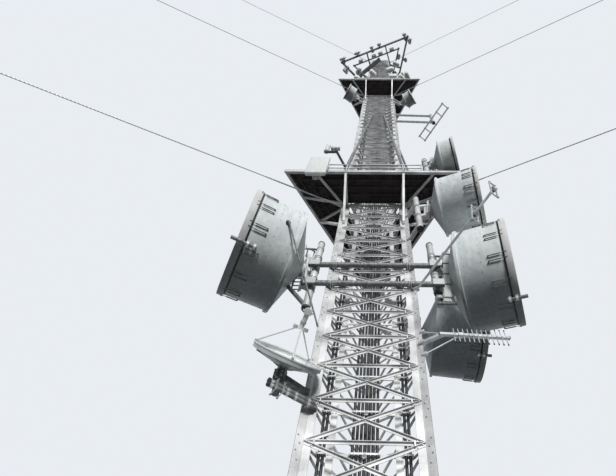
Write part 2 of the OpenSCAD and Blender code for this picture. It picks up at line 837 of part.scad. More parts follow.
module head_frame() {
    // Each side sits a little above the one before, so that the pipes lap at the corners
    color("dimgray") for (k = [0 : 2]) rotate(head_turn + sides[k]) translate([0, 0, head_z + 3 * k]) {
        for (up = [-1, 1]) rod([-head_side / 2 - 30, -head_y, up * head_h / 2],
            [head_side / 2 + 30, -head_y, up * head_h / 2], head_pipe_d);
        for (x = posts[k]) translate([x, post_y, -post_h / 2]) cylinder(d = post_d, h = post_h, $fn = 12);
        for (x = [-head_side / 2 + 70, 0, head_side / 2 - 70]) translate([x, -head_y, -head_h / 2])
            cylinder(d = head_pipe_d * 0.8, h = head_h, $fn = 12);
        rod([-inner_y * 1.8, -inner_y, -head_h / 2], [inner_y * 1.8, -inner_y, -head_h / 2], inner_d);
    }
    for (az = [az_left, az_right, az_rear], up = [-1, 1])
        leg_arms(az, head_z + up * head_h / 2, [head_end(az, 42), head_end(az, -78)], head_beam_w);
}

// The place in the plan where a beam from a leg, square to a side of the head frame, meets that side
function head_end(az, turn) = edge(az) + (head_y - fin_r * cos(turn)) * toward(az + turn);

module head_panels() {
    y = post_y - post_d / 2 * cos(15) - seat - cover_t;
    color("white") for (k = [0 : 2]) rotate(head_turn + sides[k]) for (i = [0 : len(posts[k]) - 1])
        translate([posts[k][i] - covers[k][i] / 2, y, head_z - head_tall / 2])
            cube([covers[k][i], cover_t, head_tall]);
}

// Square units that hang on the outer side of the inner triangle
module head_units() {
    y = -inner_y - inner_d / 2 * cos(15) - seat - unit_t;
    color("white") for (k = [0 : 2]) rotate(head_turn + sides[k]) for (x = units[k])
        translate([x - unit_w / 2, y, head_z - head_h / 2 - unit_h / 2]) cube([unit_w, unit_t, unit_h]);
}

// Cable ladder and feeder cables inside the mast

ladder_y = -80;
rung_t = 6;
rung_w = 18;
rail_t = 8;
// How far a rung reaches before it meets the side faces' level bars
rung_x = (face_y + seat - (ladder_y + rung_t) / 2 - seat) / cos(30);
cable_y = ladder_y - seat - cable_d / 2;
gland_h = 40;

module cable_ladder() {
    color(steel) {
        for (side = [-1, 1]) translate([side * ladder_x - ladder_rail_w / 2, ladder_y, base_h + seat])
            cube([ladder_rail_w, rail_t, top_z - base_h - 200]);
        for (k = [1 : top_panel - 1]) translate([-rung_x, ladder_y, panel_z(k) - rung_w / 2])
            cube([2 * rung_x, rung_t, rung_w]);
    }
}

// A group of cables side by side, from the base plate to the heights in the list
module cable_group(x, tops) {
    count = len(tops);
    for (i = [0 : count - 1]) translate([x + (i - (count - 1) / 2) * cable_gap, cable_y, base_h + seat]) {
        cylinder(d = cable_d, h = tops[i] - base_h, $fn = 24);
        cylinder(d = cable_gap - 1, h = gland_h, $fn = 6);
    }
}

module feeder_cables() {
    top = head_z - 300;
    color("black") {
        cable_group(-218, [drum_z + 300, high_z_drums]);
        cable_group(0, [for (i = [0 : 6]) top - 140 * abs(i - 3)]);
        cable_group(218, [drum_z + 300, high_z_drums]);
    }
}

base_block();
base_plate();
leg_front_left();
leg_front_right();
leg_rear();
bracing_front_lower();
bracing_right_lower();
bracing_left_lower();
bracing_front_upper();
bracing_right_upper();
bracing_left_upper();
lower_platform_frame();
lower_platform_floor();
lower_platform_rails();
upper_platform_frame();
upper_platform_floor();
upper_platform_rails();
guys_low();
guys_middle();
guys_top();
anchor_blocks();
anchor_plates();
drum_tubes();
drum_left();
drum_left_mount();
drum_right();
drum_right_mount();
drum_below_platform();
drum_below_platform_mount();
drum_rear();
drum_rear_mount();
drum_small();
drum_small_mount();
high_drums();
high_drum_mounts();
small_dish();
small_dish_feed();
small_dish_mount();
twin_tube_arm();
rod_antenna();
loop_antenna();
panel_antenna();
panel_antenna_mount();
side_radomes();
side_radome_arm();
side_frame();
platform_struts();
mast_antennas();
mast_antenna_arms();
cross_boom();
head_frame();
head_panels();
head_units();
cable_ladder();
feeder_cables();
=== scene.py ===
"""Half size model of a guyed lattice mast: finishes, fittings, light and camera around the fixed frame."""
import json
import math
from itertools import product

import bmesh
import bpy
from mathutils import Matrix, Vector


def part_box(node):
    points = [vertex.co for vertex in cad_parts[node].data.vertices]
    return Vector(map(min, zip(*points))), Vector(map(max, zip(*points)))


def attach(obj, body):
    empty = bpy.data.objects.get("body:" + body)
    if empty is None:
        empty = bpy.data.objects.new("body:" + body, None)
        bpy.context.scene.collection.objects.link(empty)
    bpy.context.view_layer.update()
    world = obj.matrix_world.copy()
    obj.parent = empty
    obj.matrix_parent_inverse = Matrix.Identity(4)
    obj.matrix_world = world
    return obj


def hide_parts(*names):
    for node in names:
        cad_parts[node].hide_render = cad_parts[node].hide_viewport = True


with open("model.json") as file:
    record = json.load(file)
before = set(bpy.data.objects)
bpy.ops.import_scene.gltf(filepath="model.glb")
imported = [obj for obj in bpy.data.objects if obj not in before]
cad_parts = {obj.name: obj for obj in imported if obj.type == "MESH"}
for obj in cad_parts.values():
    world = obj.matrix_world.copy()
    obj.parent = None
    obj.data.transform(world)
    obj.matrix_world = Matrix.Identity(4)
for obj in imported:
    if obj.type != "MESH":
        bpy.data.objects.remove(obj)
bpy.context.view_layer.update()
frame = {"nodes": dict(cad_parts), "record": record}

# Sizes of the mast in millimetres of the half size model, as in the part
FACE_W = 610
PANEL_H = 280
PANELS = 70
BASE_H = 170
FIN_W = 38
LEG_T = 6
BAR_T = 3
BAR_OUT = 15
SEAT = 0.3
LEG_R = FACE_W / math.sqrt(3)
FACE_Y = LEG_R / 2
FIN_R = LEG_R + FIN_W
LOW_Z = BASE_H + 18 * PANEL_H
HIGH_Z = BASE_H + 42 * PANEL_H
TOP_Z = BASE_H + 67 * PANEL_H
LEFT_LEG = 210
RIGHT_LEG = 330
REAR_LEG = 90
LEGS = (LEFT_LEG, RIGHT_LEG, REAR_LEG)
TURNS = (0, 120, -120)
BOLT_D = 9


# Colours and material nodes

def colour(text):
    """An sRGB hex value as linear red, green, blue and alpha."""
    parts = [int(text[i:i + 2], 16) / 255 for i in (1, 3, 5)]
    return [p / 12.92 if p <= 0.04045 else ((p + 0.055) / 1.055) ** 2.4 for p in parts] + [1]


def add(tree, kind, settings=None, **links):
    """Adds a node with its settings; each link or value goes to the input of that name or number."""
    made = tree.nodes.new(kind)
    for key, value in (settings or {}).items():
        setattr(made, key, value)
    for key, value in links.items():
        socket = made.inputs[int(key[1:])] if key[1:].isdigit() else made.inputs[key.replace("_", " ")]
        if isinstance(value, bpy.types.NodeSocket):
            tree.links.new(value, socket)
        else:
            socket.default_value = value
    return made


RGBA = {"data_type": "RGBA"}


def new_finish(name, roughness, metallic=0.0, base=None):
    """A material with one Principled shader, and the object's own coordinates."""
    material = bpy.data.materials.new(name)
    material.use_nodes = True
    tree = material.node_tree
    shader = tree.nodes["Principled BSDF"]
    shader.inputs["Roughness"].default_value = roughness
    shader.inputs["Metallic"].default_value = metallic
    if base:
        shader.inputs["Base Color"].default_value = colour(base)
    place = add(tree, "ShaderNodeTexCoord").outputs["Object"]
    return material, tree, shader, place


def grain(tree, place, size, detail=3.0, stretch=(1, 1, 1)):
    """Noise with grains of a size in metres, drawn out along an axis where asked."""
    scaled = add(tree, "ShaderNodeMapping", Vector=place, Scale=[1 / (size * s) for s in stretch])
    return add(tree, "ShaderNodeTexNoise", Vector=scaled.outputs[0], Scale=1.0, Detail=detail).outputs[0]


def between(tree, factor, low, high, from_min=0.0, from_max=1.0):
    """A colour between two hex values, as a factor goes from one value to another."""
    ramp = add(tree, "ShaderNodeMapRange", Value=factor, From_Min=from_min, From_Max=from_max)
    return add(tree, "ShaderNodeMix", RGBA, i0=ramp.outputs[0], i6=colour(low), i7=colour(high)).outputs[2]


def paint(tree, shader, tone, rough=None, height=None, distance=0.0005, strength=0.3):
    """Joins a colour, a roughness range over a factor, and a bump to the shader."""
    tree.links.new(tone, shader.inputs["Base Color"])
    if rough:
        factor, low, high = rough
        spread = add(tree, "ShaderNodeMapRange", Value=factor, To_Min=low, To_Max=high)
        tree.links.new(spread.outputs[0], shader.inputs["Roughness"])
    if height:
        bump = add(tree, "ShaderNodeBump", Strength=strength, Distance=distance, Height=height)
        tree.links.new(bump.outputs[0], shader.inputs["Normal"])


def galvanised_angle_steel():
    """Hot-dip galvanised angle steel, years in the weather: pale matt zinc, spangle, duller patches."""
    material, tree, shader, place = new_finish("galvanised_angle_steel", 0.5, 0.25)
    spangle = add(tree, "ShaderNodeTexVoronoi", Vector=place, Scale=1 / 0.009)
    patches = grain(tree, place, 0.16, 5.0)
    tint = between(tree, patches, "#A2A4A3", "#E2E3E0", 0.3, 0.7)
    flake = add(tree, "ShaderNodeMix", {"data_type": "RGBA", "blend_type": "SOFT_LIGHT"}, i0=0.2,
                i6=tint, i7=spangle.outputs["Color"])
    plain = add(tree, "ShaderNodeHueSaturation", Color=flake.outputs[2], Saturation=0.25)
    paint(tree, shader, plain.outputs[0], (patches, 0.6, 0.42), spangle.outputs["Distance"], 0.0004, 0.15)
    return material


def dark_tube_steel():
    """Tubes and clamps of galvanised steel gone dull grey, with darker runs down from rain and dust."""
    material, tree, shader, place = new_finish("dull_galvanised_tube", 0.55, 0.35)
    runs = grain(tree, place, 0.02, 4.0, (1, 1, 12))
    spots = grain(tree, place, 0.005, 2.0)
    tone = between(tree, runs, "#565857", "#8E908F", 0.3, 0.75)
    paint(tree, shader, tone, (runs, 0.7, 0.45), spots, 0.0003, 0.2)
    return material


def guy_strand_steel():
    """Zinc coated strand of seven twisted wires: light and dark bands along the guy."""
    material, tree, shader, place = new_finish("zinc_coated_guy_strand", 0.45, 0.5)
    lay = add(tree, "ShaderNodeTexWave", {"bands_direction": "Z"}, Vector=place, Scale=1 / 0.028,
              Distortion=0.0)
    tone = between(tree, lay.outputs["Fac"], "#77797A", "#B9BBBB")
    paint(tree, shader, tone, (lay.outputs["Fac"], 0.6, 0.4), lay.outputs["Fac"], 0.0012, 0.6)
    return material


def dark_floor_plate():
    """Platform floor of steel plate with raised studs, in soft random patches of near black brown: painted
    shade of its shaded underside.
    """
    material, tree, shader, place = new_finish("shade_darkened_floor_plate", 0.75, 0.1)
    stain = grain(tree, place, 0.11, 5.0)
    studs = add(tree, "ShaderNodeTexVoronoi", Vector=place, Scale=1 / 0.018)
    # Painted shade: both tones are dark brown for the floor seen from below in shadow.
    tone = between(tree, stain, "#2A2523", "#4A4340", 0.3, 0.7)
    paint(tree, shader, tone, (stain, 0.85, 0.6), studs.outputs["Distance"], 0.0008, 0.4)
    return material


def drum_paint():
    """Rolled aluminium shell with pale grey-blue paint, dusty and a little streaked."""
    material, tree, shader, place = new_finish("grey_blue_drum_paint", 0.42)
    shader.inputs["Specular IOR Level"].default_value = 0.22
    streaks = grain(tree, place, 0.03, 4.0, (1, 1, 7))
    dust = grain(tree, place, 0.2, 3.0)
    mixed = add(tree, "ShaderNodeMath", {"operation": "MULTIPLY"}, i0=streaks, i1=dust)
    tone = between(tree, mixed.outputs[0], "#CBD3D4", "#E6EBEA", 0.12, 0.34)
    paint(tree, shader, tone, (dust, 0.5, 0.36), grain(tree, place, 0.004, 2.0), 0.0002, 0.1)
    return material


def radome_cloth():
    """Coated cloth stretched over a drum's open front: off-white, very fine weave, soft grey dirt."""
    material, tree, shader, place = new_finish("coated_radome_cloth", 0.62)
    weave = add(tree, "ShaderNodeTexChecker", Vector=place, Scale=1 / 0.0012)
    dirt = grain(tree, place, 0.09, 5.0)
    tone = between(tree, dirt, "#C6C8C5", "#DCDDDA", 0.3, 0.7)
    paint(tree, shader, tone, (dirt, 0.72, 0.55), weave.outputs["Fac"], 0.0001, 0.15)
    return material


def white_glass_plastic():
    """Thin glass fibre covers: chalky off-white that lets some light through, greyer where rain has run."""
    material, tree, shader, place = new_finish("white_glass_fibre_plastic", 0.4)
    shader.inputs["Subsurface Weight"].default_value = 0.5
    shader.inputs["Subsurface Radius"].default_value = (1, 1, 0.9)
    shader.inputs["Subsurface Scale"].default_value = 0.12
    fibre = grain(tree, place, 0.003, 2.0, (1, 1, 5))
    runs = grain(tree, place, 0.03, 4.0, (1, 1, 5))
    tone = between(tree, runs, "#CFD1CE", "#E4E5E2", 0.25, 0.7)
    paint(tree, shader, tone, (runs, 0.5, 0.34), fibre, 0.0002, 0.12)
    return material


def black_cable_jacket():
    """Polythene jacket of corrugated feeder cable: near black, soft sheen, thin pale dust."""
    material, tree, shader, place = new_finish("black_cable_jacket", 0.38)
    dust = grain(tree, place, 0.04, 4.0, (1, 1, 4))
    ripple = add(tree, "ShaderNodeTexWave", {"bands_direction": "Z"}, Vector=place, Scale=1 / 0.02)
    tone = between(tree, dust, "#1B1C1E", "#35373A", 0.35, 0.8)
    paint(tree, shader, tone, (dust, 0.34, 0.6), ripple.outputs["Fac"], 0.0002, 0.15)
    return material


def brushed_aluminium():
    """Drawn aluminium rods and booms: bright grey with fine lines along them, dulled by the weather."""
    material, tree, shader, place = new_finish("drawn_aluminium", 0.4, 0.6)
    lines = grain(tree, place, 0.0012, 2.0, (1, 1, 30))
    haze = grain(tree, place, 0.05, 3.0)
    tone = between(tree, haze, "#A8AAAB", "#CFD1D1", 0.3, 0.7)
    paint(tree, shader, tone, (haze, 0.5, 0.34), lines, 0.0001, 0.15)
    return material


def cast_concrete():
    """Foundation concrete: grey in soft patches, pitted by small air holes, gritty to the touch."""
    material, tree, shader, place = new_finish("cast_concrete", 0.9)
    cloud = grain(tree, place, 0.14, 6.0)
    grit = grain(tree, place, 0.004, 3.0)
    holes = add(tree, "ShaderNodeTexVoronoi", Vector=place, Scale=1 / 0.02)
    pits = add(tree, "ShaderNodeMath", {"operation": "LESS_THAN"}, i0=holes.outputs["Distance"], i1=0.12)
    tone = between(tree, cloud, "#8F8D88", "#B7B5AF", 0.3, 0.7)
    pitted = add(tree, "ShaderNodeMix", RGBA, i0=pits.outputs[0], i6=tone, i7=colour("#77756F"))
    paint(tree, shader, pitted.outputs[2], (cloud, 0.95, 0.82), grit, 0.0012, 0.5)
    return material


def bright_zinc_bolts():
    """Bolts, nuts and washers: brighter zinc than the bars, with a little white bloom."""
    material, tree, shader, place = new_finish("bright_zinc_bolts", 0.38, 0.55)
    bloom = grain(tree, place, 0.006, 3.0)
    tone = between(tree, bloom, "#A9ABAA", "#D6D7D5", 0.35, 0.7)
    paint(tree, shader, tone, (bloom, 0.36, 0.55), bloom, 0.0002, 0.1)
    return material


def stainless_band():
    """Stainless bands, collars and clamps: clean bright grey, finely brushed."""
    material, tree, shader, place = new_finish("stainless_bands", 0.3, 0.85)
    lines = grain(tree, place, 0.001, 2.0, (8, 8, 1))
    tone = between(tree, grain(tree, place, 0.03), "#A5A6A6", "#C9CACA", 0.3, 0.7)
    paint(tree, shader, tone, (lines, 0.26, 0.4), lines, 0.0001, 0.1)
    return material


def black_rubber():
    """Black rubber for caps and plugs, and for the strips and rings of painted shade: soft black with a
    grey bloom.
    """
    material, tree, shader, place = new_finish("black_rubber", 0.7)
    bloom = grain(tree, place, 0.012, 3.0)
    tone = between(tree, bloom, "#161616", "#2E2E2F", 0.35, 0.75)
    paint(tree, shader, tone, (bloom, 0.62, 0.8), bloom, 0.0003, 0.15)
    return material


STEEL = galvanised_angle_steel()
TUBE = dark_tube_steel()
STRAND = guy_strand_steel()
FLOOR = dark_floor_plate()
SHELL = drum_paint()
CLOTH = radome_cloth()
PLASTIC = white_glass_plastic()
JACKET = black_cable_jacket()
ALUMINIUM = brushed_aluminium()
CONCRETE = cast_concrete()
ZINC = bright_zinc_bolts()
STAINLESS = stainless_band()
RUBBER = black_rubber()


# Shapes, in millimetres

# Directions, the mast's own axes, and the angle above which an edge is sharp
UP = Vector((0, 0, 1))
FRONT = Vector((0, -1, 0))
RIGHT = Vector((1, 0, 0))
MAST = Matrix()
SHARP = math.radians(35)


def toward(az, rise=0):
    """A unit vector at an angle from +X in the plan and an angle above it."""
    a, t = math.radians(az), math.radians(rise)
    return Vector((math.cos(a) * math.cos(t), math.sin(a) * math.cos(t), math.sin(t)))


def turned(az, at=(0, 0, 0)):
    """A matrix at a point, turned about Z."""
    return Matrix.Translation(at) @ Matrix.Rotation(math.radians(az), 4, "Z")


def moved(place, x, y, z):
    """A matrix moved along its own axes."""
    return place @ Matrix.Translation((x, y, z))


def spot(place, x, y, z):
    """A point given in a matrix's axes."""
    return place @ Vector((x, y, z))


def panels(az, numbers):
    """A matrix at the foot of each of the mast's numbered panels, turned about the mast's axis."""
    return [turned(az, (0, 0, BASE_H + k * PANEL_H)) for k in numbers]


def beside(az, x, y, z=0):
    """A place set off from the outer edge of a leg."""
    return FIN_R * toward(az) + Vector((x, y, z))


def aim(at, along, near=UP):
    """A matrix at a point whose Z axis lies along a direction and whose Y axis is nearest to another."""
    z = Vector(along).normalized()
    x = Vector(near).cross(z)
    if x.length < 0.001:
        x = Vector((0, 1, 0)).cross(z)
    x.normalize()
    turn = Matrix((x, z.cross(x), z)).transposed().to_4x4()
    return Matrix.Translation(at) @ turn


def rod(bm, a, b, d, sides=12, end_d=None):
    """A round bar between two points, or a cone where its end has another diameter."""
    a, b = Vector(a), Vector(b)
    bmesh.ops.create_cone(bm, cap_ends=True, segments=sides, radius1=d / 2,
                          radius2=(d if end_d is None else end_d) / 2, depth=(b - a).length,
                          matrix=aim((a + b) / 2, b - a))


def plug(bm, end, out, back, lip, d, sides, crown=None):
    """A plug over a pipe's end, out to its lip, and a crown given by its reach and its end's diameter."""
    rod(bm, end - back * out, end + lip * out, d, sides)
    if crown:
        rod(bm, end + lip * out, end + crown[0] * out, d, sides, crown[1])


def block(bm, place, size, rounding=0.0, steps=1):
    """A box in a matrix's axes, with its middle there, and with rounded edges."""
    made = bmesh.ops.create_cube(bm, size=1, matrix=place @ Matrix.Diagonal((*size, 1)))
    if rounding:
        edges = list({edge for vert in made["verts"] for edge in vert.link_edges})
        bmesh.ops.bevel(bm, geom=edges, offset=rounding, segments=steps, profile=0.5,
                        affect="EDGES", material=-1)


def bar(bm, a, b, width, depth, near=UP, rounding=0.0):
    """A flat bar between two points: its width lies across, its depth towards a direction."""
    a, b = Vector(a), Vector(b)
    block(bm, aim((a + b) / 2, b - a, near), (width, depth, (b - a).length), rounding)


def bolt(bm, at, along, d=BOLT_D, nut=False):
    """A washer and a hexagon head that stand out along a direction; a nut also shows the bolt's end."""
    at, along = Vector(at), Vector(along).normalized()
    rod(bm, at, at + along * 0.14 * d, 1.3 * d, 8)
    rod(bm, at + along * 0.14 * d, at + along * 0.6 * d, d, 6)
    if nut:
        rod(bm, at + along * 0.6 * d, at + along * 0.85 * d, 0.55 * d, 6)


def bolt_rows(bm, place, xs, ys, zs, along, d=BOLT_D, nut=False):
    """Bolts in rows along a matrix's axes that stand out along a direction in them."""
    for x, y, z in product(xs, ys, zs):
        bolt(bm, spot(place, x, y, z), place.to_3x3() @ Vector(along), d, nut)


def through_leg(bm, az, xs, y, zs, d=BOLT_D):
    """Bolts through a leg, or through a clamp on it, with a head on either side."""
    for side in (-1, 1):
        bolt_rows(bm, turned(az), xs, [side * y], zs, (0, side, 0), d)


def arc(x, y, r, start, end, count):
    """Pairs of numbers for the points on an arc round a middle, from one angle to another."""
    angles = [math.radians(start + (end - start) * i / count) for i in range(count + 1)]
    return [(x + r * math.cos(a), y + r * math.sin(a)) for a in angles]


def spun(bm, place, profile, steps=64, closed=False):
    """Turns a profile of (radius, height) points once round a matrix's Z axis."""
    verts = [bm.verts.new(spot(place, r, 0, z)) for r, z in profile]
    pairs = list(zip(verts, verts[1:])) + ([(verts[-1], verts[0])] if closed else [])
    edges = [bm.edges.new(pair) for pair in pairs]
    bmesh.ops.spin(bm, geom=verts + edges, cent=place.translation, axis=place.to_3x3() @ UP,
                   angle=2 * math.pi, steps=steps, use_merge=True)


def band(bm, place, r, width, thick=2.0, sides=24):
    """A flat ring round a matrix's Z axis, such as a band round a pipe."""
    spun(bm, place, [(r, -width / 2), (r + thick, -width / 2), (r + thick, width / 2), (r, width / 2)],
         sides, closed=True)


def tube(bm, points, d, sides=10):
    """A round bar bent through points, drawn out from one to the next."""
    points = [Vector(p) for p in points]
    ways = [(b - a).normalized() for a, b in zip(points, points[1:])]
    turns = [ways[0]] + [a + b for a, b in zip(ways, ways[1:])] + [ways[-1]]
    places = [aim(p, t) for p, t in zip(points, turns)]
    made = bmesh.ops.create_circle(bm, cap_ends=True, segments=sides, radius=d / 2, matrix=places[0])
    face = made["verts"][0].link_faces[0]
    for before, after in zip(places, places[1:]):
        drawn = bmesh.ops.extrude_face_region(bm, geom=[face])["geom"]
        face = next(part for part in drawn if isinstance(part, bmesh.types.BMFace))
        bmesh.ops.transform(bm, matrix=after @ before.inverted(), verts=face.verts)


def ubolt(bm, place, d, reach):
    """A U bolt round a pipe along the matrix's Z axis, with its two legs and nuts towards its Y axis."""
    r = d / 2 + 4
    bend = [(-r, reach), *arc(0, 0, r, 180, 360, 8), (r, reach)]
    tube(bm, [spot(place, x, y, 0) for x, y in bend], 6, 8)
    bolt_rows(bm, place, (-r, r), [reach - 7], [0], (0, 1, 0), 10)


def copies(bm, unit, places):
    """Puts a copy of a small mesh at each of several matrices."""
    mesh = bpy.data.meshes.new("unit")
    unit.to_mesh(mesh)
    unit.free()
    for place in places:
        mesh.transform(place)
        bm.from_mesh(mesh)
        mesh.transform(place.inverted())
    bpy.data.meshes.remove(mesh)


def piece(bm, name, finish, replaced=()):
    """Turns a mesh in millimetres into a piece of the object, with its sharp edges marked."""
    bmesh.ops.remove_doubles(bm, verts=bm.verts, dist=0.001)
    bmesh.ops.recalc_face_normals(bm, faces=bm.faces)
    bmesh.ops.scale(bm, vec=(0.001, 0.001, 0.001), verts=bm.verts)
    for face in bm.faces:
        face.smooth = True
    for edge in bm.edges:
        edge.smooth = edge.calc_face_angle(math.pi) < SHARP
    mesh = bpy.data.meshes.new(name)
    bm.to_mesh(mesh)
    bm.free()
    mesh.materials.append(finish)
    made = bpy.data.objects.new(name, mesh)
    bpy.context.scene.collection.objects.link(made)
    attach(made, "root")
    if replaced:
        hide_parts(*replaced)


# Finishes of the solids, by the record's material slots

FINISHES = {"concrete": CONCRETE, "galvanised_steel": STEEL, "dark_tube": TUBE, "guy_strand": STRAND,
            "floor_plate": FLOOR, "drum_shell": SHELL, "white_plastic": PLASTIC, "black_cable": JACKET,
            "aluminium": ALUMINIUM}
for subpart in frame["record"]["subparts"]:
    for held in frame["nodes"][subpart["node"]].material_slots:
        held.material = FINISHES[subpart["material_slot"]]


# Foundation

def foundation():
    """The base block with broken edges, bolts round the base plate, and cleats at the feet of the legs."""
    low, high = [1000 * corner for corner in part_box("base_block")]
    bm = bmesh.new()
    block(bm, Matrix.Translation((low + high) / 2), high - low, 12, 2)
    piece(bm, "foundation_block", CONCRETE, ["base_block"])
    bm = bmesh.new()
    for az in LEGS:
        leg = turned(az, (0, 0, BASE_H))
        for r, y in ((405, 42), (290, 92)):
            bolt_rows(bm, leg, [r], (y, -y), [0], UP, 24, nut=True)
        for side in (-1, 1):
            y = side * (LEG_T / 2 + 4)
            block(bm, moved(leg, LEG_R + 18, y, 45), (34, 8, 90), 1.5)
            block(bm, moved(leg, LEG_R + 18, y + side * 22, 4), (34, 44, 8), 1.5)
        through_leg(bm, az, [LEG_R + 18], LEG_T / 2 + 8, (BASE_H + 30, BASE_H + 66), 12)
    piece(bm, "base_bolts_and_cleats", ZINC)


# Mast

def leg_bolts(name, az):
    """Two staggered rows of bolts along a leg's outer edge, heads on one side and nuts on the other."""
    unit = bmesh.new()
    for up, r in ((36, LEG_R + 28), (-10, LEG_R + 13), (-54, LEG_R + 28), (-105, LEG_R + 13)):
        bolt(unit, (r, LEG_T / 2, up), -FRONT)
        bolt(unit, (r, -LEG_T / 2, up), FRONT, nut=True)
    bm = bmesh.new()
    copies(bm, unit, panels(az, range(1, PANELS)))
    piece(bm, f"{name}_bolts", ZINC)


def leg_edge_shade_lines():
    """Painted shade: a thin black strip along each leg's outer edge, for the shadow line where its two bent
    plates meet.
    """
    bm = bmesh.new()
    tall = PANELS * PANEL_H - 4
    for az in LEGS:
        block(bm, moved(turned(az), FIN_R, 0, BASE_H + tall / 2 + 2), (0.8, 1.8, tall))
    piece(bm, "leg_edge_shade_lines", RUBBER)


def bracing_fittings(name, turn):
    """Bolts at the bars' ends and crossings of one face, and a clip plate on each end of the level bars."""
    out = -FACE_Y - SEAT - BAR_T
    front = -FACE_Y - SEAT - BAR_OUT
    end = FACE_W / 2 - 47
    rise = 39 * PANEL_H / FACE_W - 2
    unit = bmesh.new()
    for side in (-1, 1):
        bolt(unit, (side * (end + 24), out, -2), FRONT)
        bolt_rows(unit, MAST, [side * end], [out], (rise, PANEL_H - rise - 4), FRONT)
        x = side * (end - 14)
        block(unit, moved(MAST, x, front - 2, -4), (8, 4, 36), 0.8)
        block(unit, moved(MAST, x, (out + front) / 2, -16), (8, BAR_OUT - BAR_T, 4))
    bolt(unit, (0, out, PANEL_H / 2 - 1), FRONT)
    bm = bmesh.new()
    copies(bm, unit, panels(turn, range(PANELS)))
    piece(bm, f"bracing_{name}_fittings", ZINC)


# Cables on the ladder inside the mast

CABLE_Y = -88.3
CABLE_D = 16
CABLE_GAP = 21
CABLE_FRONT = CABLE_Y - CABLE_D / 2
LADDER_X = 175
LADDER_Y = -80
RUNGS = 66

# Each group of cables: its middle, its number of cables, and the rungs that it passes
CABLE_GROUPS = ((-218, 2, 39), (0, 7, 61), (218, 2, 39))


def cable_clamps():
    """A strap across each group of cables at every rung, and a round clamp below the middle group's."""
    bm = bmesh.new()
    for x, count, rungs in CABLE_GROUPS:
        half = count * CABLE_GAP / 2 + 3
        unit = bmesh.new()
        strap = moved(MAST, x, CABLE_FRONT, 0)
        block(unit, moved(strap, 0, -1.5, 0), (2 * half + 6, 3, 13), 0.8)
        for side in (-1, 1):
            block(unit, moved(MAST, x + side * half, CABLE_Y, 0), (4, CABLE_D + 4, 13))
            bolt(unit, spot(strap, side * (half - 5), -3, 0), FRONT, 7)
        if x == 0:
            block(unit, moved(strap, 0, -1.5, -14), (12, 3, 30), 0.8)
            rod(unit, spot(strap, 0, -2, -24), spot(strap, 0, -14, -24), 26, 16)
            bolt(unit, spot(strap, 0, -14, -24), FRONT, 10)
        copies(bm, unit, panels(0, range(1, rungs + 1)))
    piece(bm, "cable_clamps", ZINC)
    unit = bmesh.new()
    for x in (-LADDER_X, LADDER_X):
        bolt_rows(unit, MAST, (x - 9, x + 9), [LADDER_Y], [0], FRONT, 8)
    bm = bmesh.new()
    copies(bm, unit, panels(0, range(1, RUNGS + 1)))
    piece(bm, "cable_ladder_bolts", ZINC)


# Platforms

PLATFORM_SIDE = 1830
PLATFORM_Y = PLATFORM_SIDE / math.sqrt(3) / 2
BEAM_Z = 20
BEAM_H = 50
BEAM_W = 25
FLOOR_T = 8
RAIL_H = 225
RAIL_L = 960
POST_X = 290.5
RAIL_XS = (-RAIL_L / 2, -POST_X, POST_X, RAIL_L / 2)
OPENING_Y = FACE_Y + BAR_OUT + 8
JOIST_GAP = 56

# Half the length of a row of joists, as a share of its distance from the mast's axis
SPREAD = 1.7


def platform_joists(name, level):
    """Flat bars on edge under a platform's floor: rows along each side and many across them."""
    bm = bmesh.new()
    for turn in TURNS:
        side = turned(turn, (0, 0, level + BEAM_Z + BEAM_H))
        for y in (OPENING_Y + 5, 290, 365, 440):
            block(bm, moved(side, 0, -y, -19), (2 * SPREAD * y, 6, 38))
        for step in range(-14, 15):
            inner = max(OPENING_Y + 8, abs(step * JOIST_GAP) / SPREAD)
            outer = PLATFORM_Y - BEAM_W
            if outer - inner > 20:
                block(bm, moved(side, step * JOIST_GAP, -(inner + outer) / 2, -12), (5, outer - inner, 24))
    # The joists take the floor plate finish, whose near black brown is painted shade.
    piece(bm, f"{name}_platform_joists", FLOOR)


def platform_fittings(name, level):
    """Feet and clamps of the rails, and bolts of the beams, of their ends on the legs and of the braces."""
    bm = bmesh.new()
    brace = level - 1.5 * PANEL_H
    for turn in TURNS:
        side = turned(turn)
        beam = moved(side, 0, -PLATFORM_Y, level)
        for x in RAIL_XS:
            post = moved(beam, x, BEAM_W / 2, BEAM_Z + BEAM_H + FLOOR_T)
            block(bm, moved(post, 0, 0, 2.5), (46, 24, 5), 1)
            bolt_rows(bm, post, (-16, 16), [0], [5], UP, 7)
            for up in (RAIL_H / 2, RAIL_H):
                band(bm, moved(post, 0, 0, up - 20), 6, 12, 1.5, 12)
        for x in (-820, -560, -POST_X - 6, -POST_X + 6, POST_X - 6, POST_X + 6, 560, 820):
            bolt_rows(bm, beam, [x], [0], (BEAM_Z + 12, BEAM_Z + 38), FRONT, 8)
        for x in (-POST_X, POST_X):
            for way in (-1, 1):
                bolt_rows(bm, beam, [x + way * BEAM_W / 2], [60], [45], (way, 0, 0), 9)
            bolt_rows(bm, side, [x], [-FACE_Y - SEAT - 18], (brace - 20, brace + 20), FRONT, 9)
    for az in LEGS:
        through_leg(bm, az, [FIN_R - 4], 18, (level + 18, level + 42), 9)
    piece(bm, f"{name}_platform_fittings", ZINC)


# Guys

WIRE_D = 9
GRIP_D = WIRE_D + 5
GRIP_L = 470
GRIP_END = 640
LUG_X = FIN_R + 26
ANCHOR_R = 13500
ANCHOR_Z = 290
ANCHOR_W = 600
ANCHOR_H = 100

# From one guy's pin in an anchor plate to the next, outwards and up
PIN_STEP = Vector((48 * 0.67, 0, 48 * 0.74))


